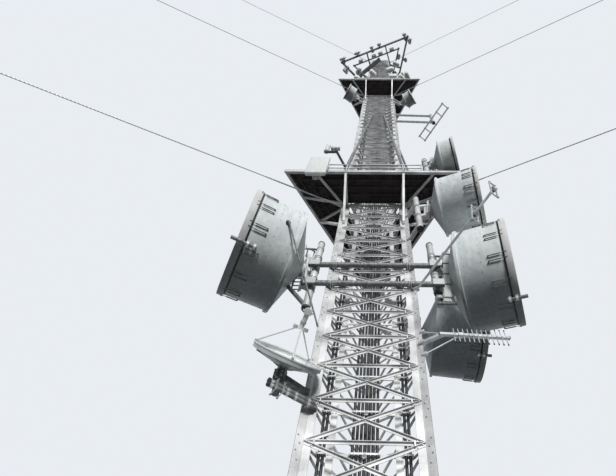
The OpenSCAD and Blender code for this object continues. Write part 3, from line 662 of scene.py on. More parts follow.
def guy_fittings(name, level, step):
    """Grips wound round both ends of one level's guys, cotter pins, and lock nuts on the turnbuckles."""
    grips, pins = bmesh.new(), bmesh.new()
    for az in LEGS:
        leg = turned(az)
        top = spot(leg, LUG_X, 0, level - 52)
        foot = leg @ (Vector((ANCHOR_R, 0, ANCHOR_Z)) + step * PIN_STEP)
        across = toward(az + 90)
        down = (foot - top).normalized()
        for pin, along, first in ((top, down, 170), (foot, -down, 340)):
            start, taper, end = [pin + (first + reach) * along for reach in (0, GRIP_L, GRIP_END)]
            rod(grips, start, taper, GRIP_D, 10)
            rod(grips, taper, end, GRIP_D, 10, WIRE_D + 1)
            rod(pins, pin + 14 * across, pin + 17 * across, 17, 16)
            rod(pins, pin - 16 * across - 10 * along, pin - 16 * across + 10 * along, 2.5, 6)
        for reach in (62, 246):
            rod(pins, foot - reach * down, foot - (reach + 9) * down, 31, 6)
    piece(grips, f"guy_grips_{name}", STRAND)
    piece(pins, f"guy_pins_{name}", ZINC)


def anchors():
    """The anchors' concrete blocks with broken edges, and bolts through the foot of each anchor plate."""
    blocks, nuts = bmesh.new(), bmesh.new()
    for az in LEGS:
        foot = turned(az) @ Matrix.Translation((ANCHOR_R, 0, 0))
        block(blocks, moved(foot, 100, 0, ANCHOR_H / 2), (ANCHOR_W, ANCHOR_W, ANCHOR_H), 10, 2)
        bolt_rows(nuts, foot, (8, 93, 178), (-62, 62), [ANCHOR_H + 12], UP, 22, nut=True)
    piece(blocks, "anchor_block_concrete", CONCRETE, ["anchor_blocks"])
    piece(nuts, "anchor_bolts", ZINC)


# Drum antennas. A drum's own axes: Z along its axis from the rear rim's plane, Y up, X to the side

RIM_W = 16
HUB_R = 60
HUB_L = 26
PIPE_D = 57
DRUM_Z = 3880
TUBE_D = 44
TUBE_Y = -FACE_Y - BAR_OUT - TUBE_D / 2 - 4
TUBE_RIGHT = FACE_W / 2 + 235
PIPE_Y = TUBE_Y + (TUBE_D + PIPE_D) / 2 + SEAT

# The length of a drum's rear rim, front rim and cone, as shares of its diameter
REAR_RIM = 0.028
FRONT_RIM = 0.055
CONE = 0.15

# Diameters above which a drum has more springs, bolts and sides
LARGE_D = 700
MIDDLE_D = 500
SMALL_D = 400

# The two front tubes: the height and the left end of each
TUBES = ((DRUM_Z - 308, -FACE_W / 2 - 210), (DRUM_Z - 23, -FACE_W / 2 - 195))


def on_wall(place, r, angle, along):
    """A matrix at a distance and an angle round a drum's axis, its Z along that axis and its Y outwards."""
    return moved(place @ turned(angle - 90), 0, r, along)


def polar(place, r, angle, along):
    """A point at a distance and an angle round a drum's axis."""
    return on_wall(place, r, angle, along).translation


def sides_of(d):
    """How many sides the turned parts of a drum have."""
    return 96 if d > SMALL_D else 64


def drum_shell(bm, place, d, length):
    """Spun shell: hub, smooth cone, bolted rear rim, smooth wall, a groove and the front rim."""
    r = d / 2
    wall = r - RIM_W
    cone = CONE * d
    rear = REAR_RIM * d
    front = length - FRONT_RIM * d
    spun(bm, place, [
        (0, -cone - HUB_L), (HUB_R - 3, -cone - HUB_L), (HUB_R, -cone - HUB_L + 3), (HUB_R, -cone),
        (HUB_R + 10, -cone + 1), (wall - 6, -3), (wall - 2, 0), (r - 2, 0), (r, 2), (r, rear - 2),
        (r - 2, rear), (wall + 1, rear), (wall, rear + 1), (wall, front - 16), (wall - 8, front - 14),
        (wall - 8, front), (r - 6, front), (r - 5, front + 1), (r - 5, length - 8), (r - 8, length - 5),
        (wall, length - 5)], sides_of(d))


def drum_front(bm, place, d, length):
    """The cloth over the front, with its hem folded back over the rim."""
    r = d / 2
    hem = length - FRONT_RIM * d - 2
    spun(bm, place, [(r - 6, hem), (r - 1, hem), (r, hem + 3), (r, length - 6), (r - 2, length - 2),
                     (r - 7, length - 0.6), (0.6 * r, length - 0.3), (0, length - 0.1)], sides_of(d))


def drum_springs(bm, place, d, length):
    """Two rows of rivets and, on a large drum, pairs of springs from the hem to brackets on the wall."""
    wall = d / 2 - RIM_W
    front = length - FRONT_RIM * d
    back = front - 60 - 0.06 * d
    hook = ((wall + 9, front - 32), (wall + 10, front - 8), (d / 2 + 2, front + 3), (d / 2 + 2, front + 14))
    pairs = 14 if d > LARGE_D else 12 if d > MIDDLE_D else 0
    for i in range(2 * pairs):
        angle = 360 * (i // 2 + 0.5) / pairs + (2 * (i % 2) - 1) * math.degrees(20 / wall)
        rod(bm, polar(place, wall + 9, angle, back), polar(place, wall + 9, angle, front - 30), 9, 8)
        tube(bm, [polar(place, r, angle, along) for r, along in hook], 4, 6)
        block(bm, on_wall(place, wall + 5, angle, back - 4), (10, 12, 10), 1)
    rivets = int(math.pi * d / 75)
    for share, i in product((0.14, 0.45), range(rivets)):
        foot, head = [polar(place, wall + out, 360 * i / rivets, share * length) for out in (-1, 3)]
        rod(bm, foot, head, 7, 6, 4)


def drum_fittings(bm, place, d):
    """Bolts on the rear rim and on the hub's plate, and a collar round the hub."""
    rear = 28 if d > LARGE_D else 20 if d > SMALL_D else 14
    for i in range(rear):
        bolt(bm, polar(place, d / 2 - 8, 360 * i / rear, 0), place.to_3x3() @ -UP, 8)
    plate = -CONE * d - HUB_L - SEAT - 16
    bolt_rows(bm, place, (-40, 40), (-0.21 * d, -0.12 * d, 0.12 * d, 0.21 * d), [plate], -UP, 12)
    band(bm, moved(place, 0, 0, plate + 24), HUB_R - 1, 8, 15, 48)


def side_tube(bm, tubes, place, d, angle, start, end):
    """A short dark tube beside a drum, parallel to its axis, in two pale clamps, past the front rim."""
    r = d / 2 + 17
    wall = d / 2 - RIM_W
    rod(tubes, polar(place, r, angle, start), polar(place, r, angle, end), 27, 16)
    for along in (start + 18, start + 66):
        clamp = on_wall(place, (r + wall) / 2, angle, along)
        block(bm, clamp, (40, r - wall, 22), 2)
        band(bm, on_wall(place, r, angle, along), 13.5, 16, 3, 16)
        for side in (-1, 1):
            bolt_rows(bm, clamp, [side * 20], [0], [0], (side, 0, 0), 8)


def strut(bm, place, d, angle, along, foot):
    """A thin strut from a bracket on a drum's wall to a clamp elsewhere."""
    wall = d / 2 - RIM_W
    head = polar(place, wall + 22, angle, along)
    way = (foot - head).normalized()
    block(bm, on_wall(place, wall + 12, angle, along), (10, 24, 34), 2)
    rod(bm, head, foot, 12, 12)
    for end, inward in ((head, way), (foot, -way)):
        rod(bm, end - 6 * inward, end + 20 * inward, 15, 12)


def left_mount(bm, dark):
    """Beside the left drum's pipe: a pale plate on an arm, a bent bar, a short ladder and a thick strut."""
    mount = Matrix.Translation(LEFT_PIPE + DRUM_Z * UP)
    rod(dark, spot(mount, -20, 0, 345), spot(mount, -150, 0, 365), 18, 12)
    band(bm, moved(mount, 0, 0, 343), PIPE_D / 2, 40, 4)
    block(bm, moved(mount, -143, -10, 374), (38, 8, 76), 2)
    bolt_rows(bm, mount, [-143], [-14], (348, 400), FRONT, 9)
    bend = ((-110, 220), (-110, 345), (-98, 360), (-56, 322), (-44, 300), (-54, 135))
    tube(dark, [spot(mount, x, 0, z) for x, z in bend], 15, 8)
    for x in (-150, -92):
        rod(dark, spot(mount, x, 12, -325), spot(mount, x, 12, 8), 14, 10)
    for z in range(-300, 0, 56):
        rod(dark, spot(mount, -152, 12, z), spot(mount, -90, 12, z), 11, 8)
    rod(dark, spot(mount, -180, 4, -268), spot(mount, 4, 4, -552), 34, 16)
    band(bm, moved(mount, 0, 0, -540), PIPE_D / 2, 50, 5)


def right_mount(bm, dark):
    """Beside the right drum's pipe: a pale stiffening column with dark clamps, held by short bars."""
    foot, head = Vector((552, PIPE_Y, DRUM_Z - 484)), Vector((627, PIPE_Y, DRUM_Z + 297))
    up = (head - foot).normalized()
    bar(bm, foot, head, 54, 40, FRONT, 3)
    bar(bm, foot, (foot + head) / 2, 66, 30, FRONT, 3)
    for share in (0.06, 0.3, 0.5, 0.72, 0.93):
        at = foot + share * (head - foot)
        on_pipe = RIGHT_PIPE + at.z * UP
        bar(dark, at - 6 * up, at + 6 * up, 72, 52, FRONT, 1)
        rod(dark, at, on_pipe, 20, 12)
        band(bm, Matrix.Translation(on_pipe), PIPE_D / 2, 30, 4)
    mount = moved(MAST, 0, PIPE_Y - 8, DRUM_Z)
    for start, end in (((478, -500), (616, -500)), ((478, -400), (616, -400)), ((612, -506), (612, -394))):
        bar(dark, spot(mount, start[0], 0, start[1]), spot(mount, end[0], 0, end[1]), 16, 16)


def pipe_fittings(bm, caps, pipe, place, d, low, high):
    """U bolts that hold a drum's two arms to its pipe, and the pipe's caps."""
    for side, shift in product((-1, 1), (-13, 13)):
        arm = spot(place, 0, side * d / 5, -CONE * d - HUB_L - SEAT - 8)
        ubolt(bm, aim(pipe + (arm.z + shift) * UP, UP, arm - pipe), PIPE_D, 22)
    for z, way in ((low, -UP), (high, UP)):
        plug(caps, pipe + z * UP, way, 10, 2, PIPE_D + 4, 24, (7, PIPE_D - 14))


LEFT_PIPE = Vector((-FACE_W / 2 - 150, PIPE_Y, 0))
RIGHT_PIPE = Vector((FACE_W / 2 + 195, PIPE_Y, 0))
BELOW_PIPE = beside(RIGHT_LEG, 72, -135)
REAR_PIPE = beside(REAR_LEG, 335, 395)
SMALL_PIPE = Vector((PLATFORM_SIDE * 0.295, -PLATFORM_Y + 42, 0))
HIGH_PIPES = (beside(LEFT_LEG, -105, -45), beside(RIGHT_LEG, 135, 65))
HIGH_DRUM_Z = HIGH_Z - 680
FLOOR_Z = LOW_Z + BEAM_Z + BEAM_H + FLOOR_T

# Name, pipe, rear rim's middle in the plan from that pipe, its height, direction and dip of the drum,
# diameter, length, and how far the pipe's ends lie below and above the rim's middle
DRUMS = (
    ("drum_left", LEFT_PIPE, (-235, -55), DRUM_Z - 15, 209, 3.5, 860, 400, 565, 465),
    ("drum_right", RIGHT_PIPE, (257, 115), DRUM_Z - 15, -21, 6.5, 860, 400, 345, 465),
    ("drum_below_platform", BELOW_PIPE, (211, -51), LOW_Z - 546, -19, 5.5, 540, 365, 360, 360),
    ("drum_rear", REAR_PIPE, (296, 15), DRUM_Z + 410, -0.5, 9, 860, 496, 400, 380),
    ("drum_small", SMALL_PIPE, (162, -50), LOW_Z + 360, -20, 3, 412, 164, LOW_Z + 348 - FLOOR_Z, 190),
    ("drum_high_left", HIGH_PIPES[0], (-95, -55), HIGH_DRUM_Z, 212, 0, 330, 170, 210, 210),
    ("drum_high_right", HIGH_PIPES[1], (110, -65), HIGH_DRUM_Z, -34, 0, 330, 170, 210, 210))

# The tube beside some drums: its angle round the drum's axis, and its ends along it
SIDE_TUBES = {"drum_left": (-57.5, 258, 440), "drum_right": (-98.5, 306, 445),
              "drum_rear": (-109.5, 397, 530)}


def drums():
    """Every drum: its shell and front, the fittings on it, and the clamps on its pipe."""
    shells = {}
    for name, pipe, shift, z, az, dip, d, length, down, up in DRUMS:
        place = aim(pipe + Vector((*shift, z)), toward(az, -dip))
        node = "high_drums" if name.startswith("drum_high") else name
        drum_shell(shells.setdefault(node, bmesh.new()), place, d, length)
        front, springs, fittings, caps = bmesh.new(), bmesh.new(), bmesh.new(), bmesh.new()
        drum_front(front, place, d, length)
        drum_springs(springs, place, d, length)
        drum_fittings(fittings, place, d)
        if name in SIDE_TUBES:
            side_tube(fittings, springs, place, d, *SIDE_TUBES[name])
        if name == "drum_left":
            strut(springs, place, d, -19, 123, beside(LEFT_LEG, 0, 0, 3060))
            left_mount(fittings, springs)
        if name == "drum_right":
            right_mount(fittings, springs)
        pipe_fittings(fittings, caps, pipe, place, d, z - down, z + up)
        # Painted shade: a black rubber ring fills the groove behind the front rim, for the shadow under the
        # rim band.
        gap = length - FRONT_RIM * d
        wall = d / 2 - RIM_W
        spun(caps, place, [(wall - 9, gap - 14), (wall + 2, gap - 15), (wall + 2, gap - 1),
                           (wall - 9, gap - 1)], 96, closed=True)
        piece(front, f"{name}_front", CLOTH)
        # Painted shade: the springs take the dark tube finish in place of bright zinc, since zinc springs
        # in shadow look dark.
        piece(springs, f"{name}_springs", TUBE)
        piece(fittings, f"{name}_fittings", ZINC)
        piece(caps, f"{name}_shade_ring_and_caps", RUBBER)
    for node, shell in shells.items():
        piece(shell, f"{node}_shell", SHELL, [node])


def drum_tube_fittings():
    """U bolts where the front tubes meet the legs' blocks and the drums' pipes, and plugs in their ends."""
    bm, plugs = bmesh.new(), bmesh.new()
    for z, left_end in TUBES:
        for side, shift in product((-1, 1), (-8, 8)):
            at = (side * (FACE_W / 2 - 15) + shift, TUBE_Y, z)
            ubolt(bm, aim(at, RIGHT, -FRONT), TUBE_D, 24)
        for pipe in (LEFT_PIPE, RIGHT_PIPE):
            for shift in (-26, 26):
                ubolt(bm, aim(pipe + (z + shift) * UP, UP, FRONT), PIPE_D, 52)
            block(bm, moved(MAST, pipe.x, TUBE_Y - TUBE_D / 2 - 4, z), (88, 8, 76), 2)
        for x, way in ((left_end, -RIGHT), (TUBE_RIGHT, RIGHT)):
            plug(plugs, Vector((x, TUBE_Y, z)), way, 8, 2, TUBE_D + 3, 24, (6, TUBE_D - 12))
    piece(bm, "drum_tube_clamps", ZINC)
    piece(plugs, "drum_tube_plugs", RUBBER)


# Small antennas low on the left

DISH_D = 380
DISH_FOCUS = 215
DISH_DEPTH = (DISH_D / 2) ** 2 / (4 * DISH_FOCUS)
DISH_SKIRT = 24
DISH_ARM_Z = 2345
DISH_PIPE = beside(LEFT_LEG, -120, -113)
DISH_PIPE_D = 40
DISH_MIDDLE = DISH_PIPE + Vector((6, 2, DISH_ARM_Z + 198))
DISH_AXIS = toward(-61, 36)
TWIN_AZ = 218
TWIN_D = 26


def small_dish():
    """Rolled bead and ribs of the open dish, clips and fittings of its feed, and the mount's bolts."""
    dish = aim(DISH_MIDDLE, DISH_AXIS)
    r = DISH_D / 2
    rim = DISH_DEPTH + DISH_SKIRT
    bm = bmesh.new()
    spun(bm, dish, arc(r + 3, rim - 3, 6, 0, 315, 7), 64, closed=True)
    for angle in range(22, 360, 45):
        bar(bm, polar(dish, 26, angle, -6), polar(dish, r - 4, angle, DISH_DEPTH - 8), 4, 12, -DISH_AXIS)
    spun(bm, dish, [(24, -20), (60, -6), (60, -2), (24, -3)], 48, closed=True)
    piece(bm, "small_dish_rim_and_ribs", PLASTIC)
    bm = bmesh.new()
    feed = moved(dish, 0, 0, DISH_FOCUS)
    for angle in (-90, 45, 180):
        clip = on_wall(dish, r + 2, angle, rim + 6)
        block(bm, clip, (16, 14, 12), 1.5)
        bolt_rows(bm, clip, [0], [0], [0], (0, 1, 0), 7)
    for angle in (20, 200):
        block(bm, on_wall(feed, 34, angle, 8), (12, 26, 22), 2)
    band(bm, moved(feed, 0, 0, 42), 14, 12, 3, 32)
    for side in (-1, 1):
        rod(bm, spot(feed, side * 19, 0, 105), spot(feed, side * 30, 0, 105), 12, 12)
    block(bm, moved(feed, 0, 0, 125), (24, 24, 7), 2)
    piece(bm, "small_dish_feed_fittings", PLASTIC)
    bm = bmesh.new()
    clamp = Matrix.Translation(DISH_PIPE + DISH_ARM_Z * UP)
    for up in (46, 74):
        ubolt(bm, aim(spot(clamp, 0, 0, up), UP, (1, -1, 0)), DISH_PIPE_D, 20)
    bolt_rows(bm, clamp, (-16, 16), [-28], (91, 119), FRONT, 11)
    band(bm, moved(dish, 0, 0, -54), 20, 12, 14, 32)
    for angle in (45, 135, 225, 315):
        bolt(bm, polar(dish, 27, angle, -60), -DISH_AXIS, 8)
    piece(bm, "small_dish_mount_bolts", ZINC)


def twin_tube_fittings():
    """Light bands round the twin tubes, their clamp on the dish's pipe, and dark caps on their ends."""
    along = toward(TWIN_AZ)
    across = toward(TWIN_AZ + 90)
    by = DISH_PIPE + ((DISH_PIPE_D + TWIN_D) / 2 + SEAT) * across
    inner = by - along * (-FACE_Y - BAR_OUT - 12 - by.y) / -along.y
    outer = by + along * 62
    bands, caps = bmesh.new(), bmesh.new()
    for side in (-1, 1):
        up = (DISH_ARM_Z + side * (TWIN_D - 1) / 2) * UP
        for share in (0.14, 0.42, 0.6, 0.93):
            band(bands, aim(inner + share * (outer - inner) + up, along), TWIN_D / 2, 14, 2, 20)
        plug(caps, outer + up, along, 8, 3, TWIN_D + 4, 20, (7, TWIN_D - 8))
    for shift in (-20, 20):
        at = by + shift * along + DISH_ARM_Z * UP
        block(bands, aim(at + 15.5 * across, along), (5, 66, 12), 1)
        for up in (-29 * UP, 29 * UP):
            rod(bands, at + up + 20 * across, at + up - 52 * across, 6, 8)
            bolt(bands, at + up + 18 * across, across, 10)
            bolt(bands, at + up - 40 * across, -across, 10)
    piece(bands, "twin_tube_bands", STAINLESS)
    piece(caps, "twin_tube_caps", RUBBER)


# Small antennas low on the right

RODS_AZ = 3
RODS_Z = 2900
RODS_BOOM = 430
RODS_L = 145
RODS_GAP = 29
RODS_KNOT = 0.3 * RODS_BOOM
LOOPS_AZ = -59.6
LOOPS_Z = 3540
LOOPS_BOOM = 868
LOOP_H = 300
LOOP_W = 46
LOOP_LEAN = 10


def rod_antenna():
    """A clip and a sleeve at each rod, caps on the boom's ends, and the two thin stays back to the leg."""
    boom = turned(RODS_AZ, beside(RIGHT_LEG, 95, -72, RODS_Z))
    bm, caps = bmesh.new(), bmesh.new()
    for i in range(12):
        clip = moved(boom, RODS_BOOM - 20 - RODS_GAP * (11 - i), 0, 0)
        block(bm, clip, (12, 26, 9), 1.2)
        rod(bm, spot(clip, 0, 0, -16), spot(clip, 0, 0, 16), 11, 10)
        for way in (-1, 1):
            plug(caps, spot(clip, 0, 0, way * RODS_L / 2), way * UP, 8, 1, 9, 8)
    for x in (-1, RODS_BOOM + 1):
        block(caps, moved(boom, x, 0, 0), (6, 22, 22), 2)
    knot = moved(boom, RODS_KNOT, 0, 0)
    for up in (-110, 110):
        foot = beside(RIGHT_LEG, 4, -2, RODS_Z + up)
        rod(bm, foot, knot.translation, 9, 10)
        block(bm, turned(-30, foot), (34, 24, 22), 2)
    block(bm, knot, (30, 28, 28), 2)
    for way in (-1, 1):
        bolt(bm, spot(knot, 0, 0, 14 * way), way * UP, 9)
    piece(bm, "rod_antenna_clips_and_stays", ALUMINIUM)
    piece(caps, "rod_antenna_caps", RUBBER)


def loop_antenna():
    """A feed box and a clamp in each loop, round corners of the loops, and the boom's cap and bolts."""
    boom = turned(LOOPS_AZ, beside(RIGHT_LEG, 0, 0, LOOPS_Z))
    lean = Matrix.Rotation(math.radians(LOOP_LEAN), 4, "Y")
    boxes, clamps = bmesh.new(), bmesh.new()
    for reach in (LOOPS_BOOM - 196, LOOPS_BOOM - 10):
        loop = moved(boom, reach, 0, 0) @ turned(90) @ lean
        block(boxes, moved(loop, 0, 10, 0), (30, 12, 24), 3, 2)
        block(clamps, moved(loop, 0, -9, 0), (40, 8, 24), 1.5)
        bolt_rows(clamps, loop, (-14, 14), [-13], [0], FRONT, 8)
        for x, z in product((-LOOP_W / 2, LOOP_W / 2), (-LOOP_H / 2 + 4, LOOP_H / 2 - 4)):
            block(clamps, moved(loop, x, 0, z), (13, 12, 13), 3, 2)
    block(boxes, moved(boom, LOOPS_BOOM, 0, 0), (5, 17, 17), 1.5)
    bolt_rows(clamps, boom, (60, 90), [7], [0], (0, 1, 0), 8)
    piece(boxes, "loop_antenna_boxes", RUBBER)
    piece(clamps, "loop_antenna_clamps", ALUMINIUM)


# Antennas on and above the lower platform

PANEL_X = -PLATFORM_SIDE * 0.306
PANEL_PIPE_Y = -PLATFORM_Y - SEAT - 17
PANEL_LOW = LOW_Z - 270


def connectors(bm, place, xs, drop=20, d=16):
    """Screwed connectors that stand out below a matrix's XY plane."""
    for x in xs:
        start, middle, end = [spot(place, x, 0, -share * drop) for share in (0, 0.5, 1)]
        rod(bm, start, middle, d, 6)
        rod(bm, middle, end, 0.7 * d, 12)


def panel_antenna():
    """The square panel antenna: rounded cover, back plate, connectors, and its brackets' bolts."""
    pipe = moved(MAST, PANEL_X, PANEL_PIPE_Y, 0)
    middle = moved(pipe, 0, -50 - SEAT, PANEL_LOW + 250)
    cover, metal = bmesh.new(), bmesh.new()
    block(cover, middle, (200, 34, 500), 10, 3)
    piece(cover, "panel_antenna_cover", PLASTIC, ["panel_antenna"])
    block(metal, moved(middle, 0, 20, 0), (184, 6, 484), 1)
    connectors(metal, moved(middle, 0, 0, -249), (-55, 55))
    for up in (PANEL_LOW + 72, PANEL_LOW + 422):
        bolt_rows(metal, pipe, (-31, 31), [6], [up], -FRONT, 10)
        for x in (-31, 31):
            rod(metal, spot(pipe, x, -27, up), spot(pipe, x, 24, up), 6, 8)
        block(metal, moved(pipe, 0, 20, up), (80, 6, 24), 1)
    for up in (LOW_Z + 32, LOW_Z + 58):
        ubolt(metal, aim(spot(pipe, 0, 0, up), UP, -FRONT), 34, 20)
    piece(metal, "panel_antenna_brackets", ZINC)


RADOME_Z = LOW_Z + 1090
RADOME_BAR = beside(LEFT_LEG, -135, -243, RADOME_Z)
RADOME_W = 26


def side_radomes():
    """Two small covers: one upright and one level, both with a round end and a collar."""
    bm, metal = bmesh.new(), bmesh.new()
    end = Matrix.Translation(RADOME_BAR)
    upright = moved(end, -130, 0, RADOME_W / 2 + SEAT)
    level = end @ aim((-70, -RADOME_W / 2 - SEAT - 27, 0), RIGHT)
    spun(bm, upright, [(0, 0), (26, 0), (26, 14), (28, 17), *arc(0, 262, 28, 0, 90, 6)], 48)
    spun(bm, level, [(0, 0), (19, 0), (27, 8), *arc(19, 102, 8, 0, 90, 4), (0, 110)], 48)
    piece(bm, "side_radome_covers", PLASTIC, ["side_radomes"])
    block(metal, moved(upright, 0, 0, 3), (64, 34, 6), 1.5)
    bolt_rows(metal, upright, (-24, 24), [0], [6], UP, 9)
    for along in (31, 79):
        band(metal, moved(level, 0, 0, along), 27, 10, 2, 32)
    bolt_rows(metal, end, (-60, -14), [-RADOME_W / 2], [0], FRONT, 9)
    piece(metal, "side_radome_collars", STAINLESS)


SIDE_AZ = -56
SIDE_Z = BASE_H + 33 * PANEL_H - 153
SIDE_UP = 540
SIDE_BAR = 330
SIDE_GAP = 63


def side_frame():
    """U bolts and plugs of the frame beside the mast, and plugs and bolts of its two level bars."""
    frame_foot = turned(SIDE_AZ, beside(RIGHT_LEG, 655, 15, SIDE_Z))
    back = beside(RIGHT_LEG, 0, 0) - frame_foot.translation
    bm, caps = bmesh.new(), bmesh.new()
    for up, shift in product((0, SIDE_UP), (-11, 11)):
        ubolt(bm, aim(spot(frame_foot, 0, 0, up + shift), UP, back), 50, 24)
    for up, way in ((-60, -UP), (SIDE_UP + 60, UP)):
        plug(caps, spot(frame_foot, 0, 0, up), way, 10, 4, 54, 24)
    for x, y in product((-SIDE_BAR - 2, SIDE_BAR + 2), (-SIDE_GAP, SIDE_GAP)):
        block(caps, moved(frame_foot, x, y, 0), (6, 24, 24), 2)
    rungs = [0.48 * SIDE_BAR * i for i in range(-2, 3)]
    bolt_rows(bm, frame_foot, rungs, (-SIDE_GAP, SIDE_GAP), [-11], -UP, 8)
    piece(bm, "side_frame_clamps", ZINC)
    piece(caps, "side_frame_plugs", RUBBER)


def platform_strut_bolts():
    """Bolts in the heads and feet of the struts that stand on the lower platform."""
    bm = bmesh.new()
    head_y, head_z = -FACE_Y - SEAT - BAR_OUT - SEAT - 24, BASE_H + 34 * PANEL_H - 18
    foot_y, foot_z = -PLATFORM_Y + 38, FLOOR_Z + SEAT + 24
    for turn, way in product(TURNS, (-1, 1)):
        side = turned(turn)
        bolt_rows(bm, side, (way * 112 - 12, way * 112 + 12), [head_y], [head_z], FRONT, 9)
        bolt_rows(bm, side, (way * 320 - 20, way * 320 + 20), [foot_y], [foot_z], UP, 10)
    piece(bm, "platform_strut_bolts", ZINC)


# Head frame

HEAD_SIDE = 2300
HEAD_Z = BASE_H + 64 * PANEL_H
HEAD_TURN = -18
HEAD_Y = HEAD_SIDE / math.sqrt(3) / 2
HEAD_H = 180
HEAD_TALL = 560
HEAD_PIPE_D = 48
POST_D = 34
POST_Y = -HEAD_Y - (HEAD_PIPE_D + POST_D) / 2 + 2
COVER_T = 84
INNER_Y = 450
INNER_D = 42
UNIT_T = 90
UNIT_H = 260

# The flats of a twelve sided pipe lie at this share of its radius
FLAT = math.cos(math.radians(15))

# For each side of the frame: its antennas' places and widths, and its radio units' places
POSTS = ((-1080, -560, -60, 200, 1060), (-1060, -520, -60, 860), (-900, 0, 900))
COVERS = ((200, 200, 116, 130, 130), (170, 110, 130, 124), (124, 124, 190))
UNITS = ((-520, -60, 170, 560), (-560, -60, 180), (-560, 20, 560))


def head_antennas():
    """The head frame's panel antennas with brackets and connectors, and a small box behind some of them."""
    covers, metal, boxes = bmesh.new(), bmesh.new(), bmesh.new()
    back = POST_Y - POST_D / 2 * FLAT - SEAT
    for turn, posts, widths in zip(TURNS, POSTS, COVERS):
        side = turned(HEAD_TURN + turn, (0, 0, HEAD_Z))
        for i, (x, width) in enumerate(zip(posts, widths)):
            post = moved(side, x, 0, 0)
            middle = moved(post, 0, back - COVER_T / 2 - 4, 0)
            block(covers, middle, (width, COVER_T - 8, HEAD_TALL), 30, 4)
            connectors(metal, moved(middle, 0, 10, 1 - HEAD_TALL / 2), (-24, 0, 24), 16, 12)
            for up in (-HEAD_TALL / 2 + 60, HEAD_TALL / 2 - 60):
                block(metal, moved(post, 0, back - 5, up), (60, 10, 34), 1)
                block(metal, moved(post, 0, POST_Y + 20, up), (60, 6, 30), 1)
                bolt_rows(metal, post, (-24, 24), [POST_Y + 23], [up], -FRONT, 10)
                for shift in (-24, 24):
                    rod(metal, spot(post, shift, back - 6, up), spot(post, shift, POST_Y + 30, up), 6, 8)
            for up in (-HEAD_H / 2, HEAD_H / 2):
                ubolt(metal, post @ aim((0, -HEAD_Y, up), RIGHT, FRONT), HEAD_PIPE_D, 44)
            if i % 2 == 0:
                block(boxes, moved(post, 0, POST_Y + 74, 0), (92, 52, 130), 6, 2)
                block(boxes, moved(post, 0, POST_Y + 34, 0), (40, 34, 60), 2)
    piece(covers, "head_panel_covers", PLASTIC, ["head_panels"])
    piece(metal, "head_panel_brackets", ZINC)
    piece(boxes, "head_radio_boxes", PLASTIC)


def head_units():
    """Radio units on the inner pipes: rounded cases with cooling fins, connectors below, U bolts behind."""
    cases, metal = bmesh.new(), bmesh.new()
    front = -INNER_Y - INNER_D / 2 * FLAT - SEAT - UNIT_T
    for turn, places in zip(TURNS, UNITS):
        side = turned(HEAD_TURN + turn, (0, 0, HEAD_Z - HEAD_H / 2))
        for x in places:
            unit = moved(side, x, front, 0)
            middle = moved(unit, 0, UNIT_T / 2 + 8, 0)
            block(cases, middle, (150, UNIT_T - 16, UNIT_H), 18, 3)
            for fin in range(-4, 5):
                block(cases, moved(unit, 14 * fin, 10, 0), (4, 20, UNIT_H - 50), 1)
            connectors(metal, moved(middle, 0, 0, 1 - UNIT_H / 2), (-40, 0, 40), 18, 16)
            for shift in (-52, 52):
                ubolt(metal, side @ aim((x + shift, -INNER_Y, 0), RIGHT, FRONT), INNER_D, 26)
    piece(cases, "head_unit_cases", PLASTIC, ["head_units"])
    piece(metal, "head_unit_clamps", ZINC)


# Small antennas on arms above the upper platform: the leg, then height and place of each

SMALLS = ((LEFT_LEG, 13500, -608, -328), (LEFT_LEG, 15000, -584, -354), (LEFT_LEG, 13900, -175, -420),
          (RIGHT_LEG, 14300, 272, -455), (RIGHT_LEG, 15400, 462, -486), (RIGHT_LEG, 13600, 702, -400),
          (RIGHT_LEG, 13100, 545, -405), (RIGHT_LEG, 12900, 330, -455))


def mast_antennas():
    """Small antennas: rounded covers with a back plate, connectors below, and bolts at the arm's clamp."""
    covers, metal = bmesh.new(), bmesh.new()
    for az, z, x, y in SMALLS:
        place = aim((x, y, z), UP, Vector((x, y, 0)) - (FIN_R + 6) * toward(az))
        block(covers, moved(place, 0, 5, 0), (190, 98, 316), 36, 4)
        block(metal, moved(place, 0, -50, 0), (110, 9, 170), 1.5)
        connectors(metal, moved(place, 0, 10, -157), (-38, 38), 20, 15)
        bolt_rows(metal, place, (-40, 40), [-54], (-65, 65), FRONT, 11)
        through_leg(metal, az, (FIN_R - 12, FIN_R + 6), 20, [z], 9)
    piece(covers, "mast_antenna_covers", PLASTIC, ["mast_antennas"])
    piece(metal, "mast_antenna_fittings", ZINC)


# The broad boom below the head frame, from its left end to its right one

CROSS_Z = HEAD_Z - 1590
CROSS_ENDS = (Vector((-640, -61, CROSS_Z)), Vector((-1, -510, CROSS_Z)))


def cross_boom():
    """Bands and end plates of the broad boom below the head frame, and the bolts of its clamp."""
    start, end = CROSS_ENDS
    boom = aim(start, end - start)
    bands, nuts = bmesh.new(), bmesh.new()
    for reach in (3, 150, 300, 480, 630, (end - start).length - 3):
        block(bands, moved(boom, 0, 0, reach), (118, 80, 8), 1.5)
    for reach, shift in product((75, 225, 555, 705), (-30, 30)):
        bolt(nuts, spot(boom, 0, -36, reach + shift), -UP, 12)
    through_leg(nuts, LEFT_LEG, [FIN_R - 4], 20, (CROSS_Z - 18, CROSS_Z + 18), 10)
    piece(bands, "cross_boom_bands", TUBE)
    piece(nuts, "cross_boom_bolts", ZINC)


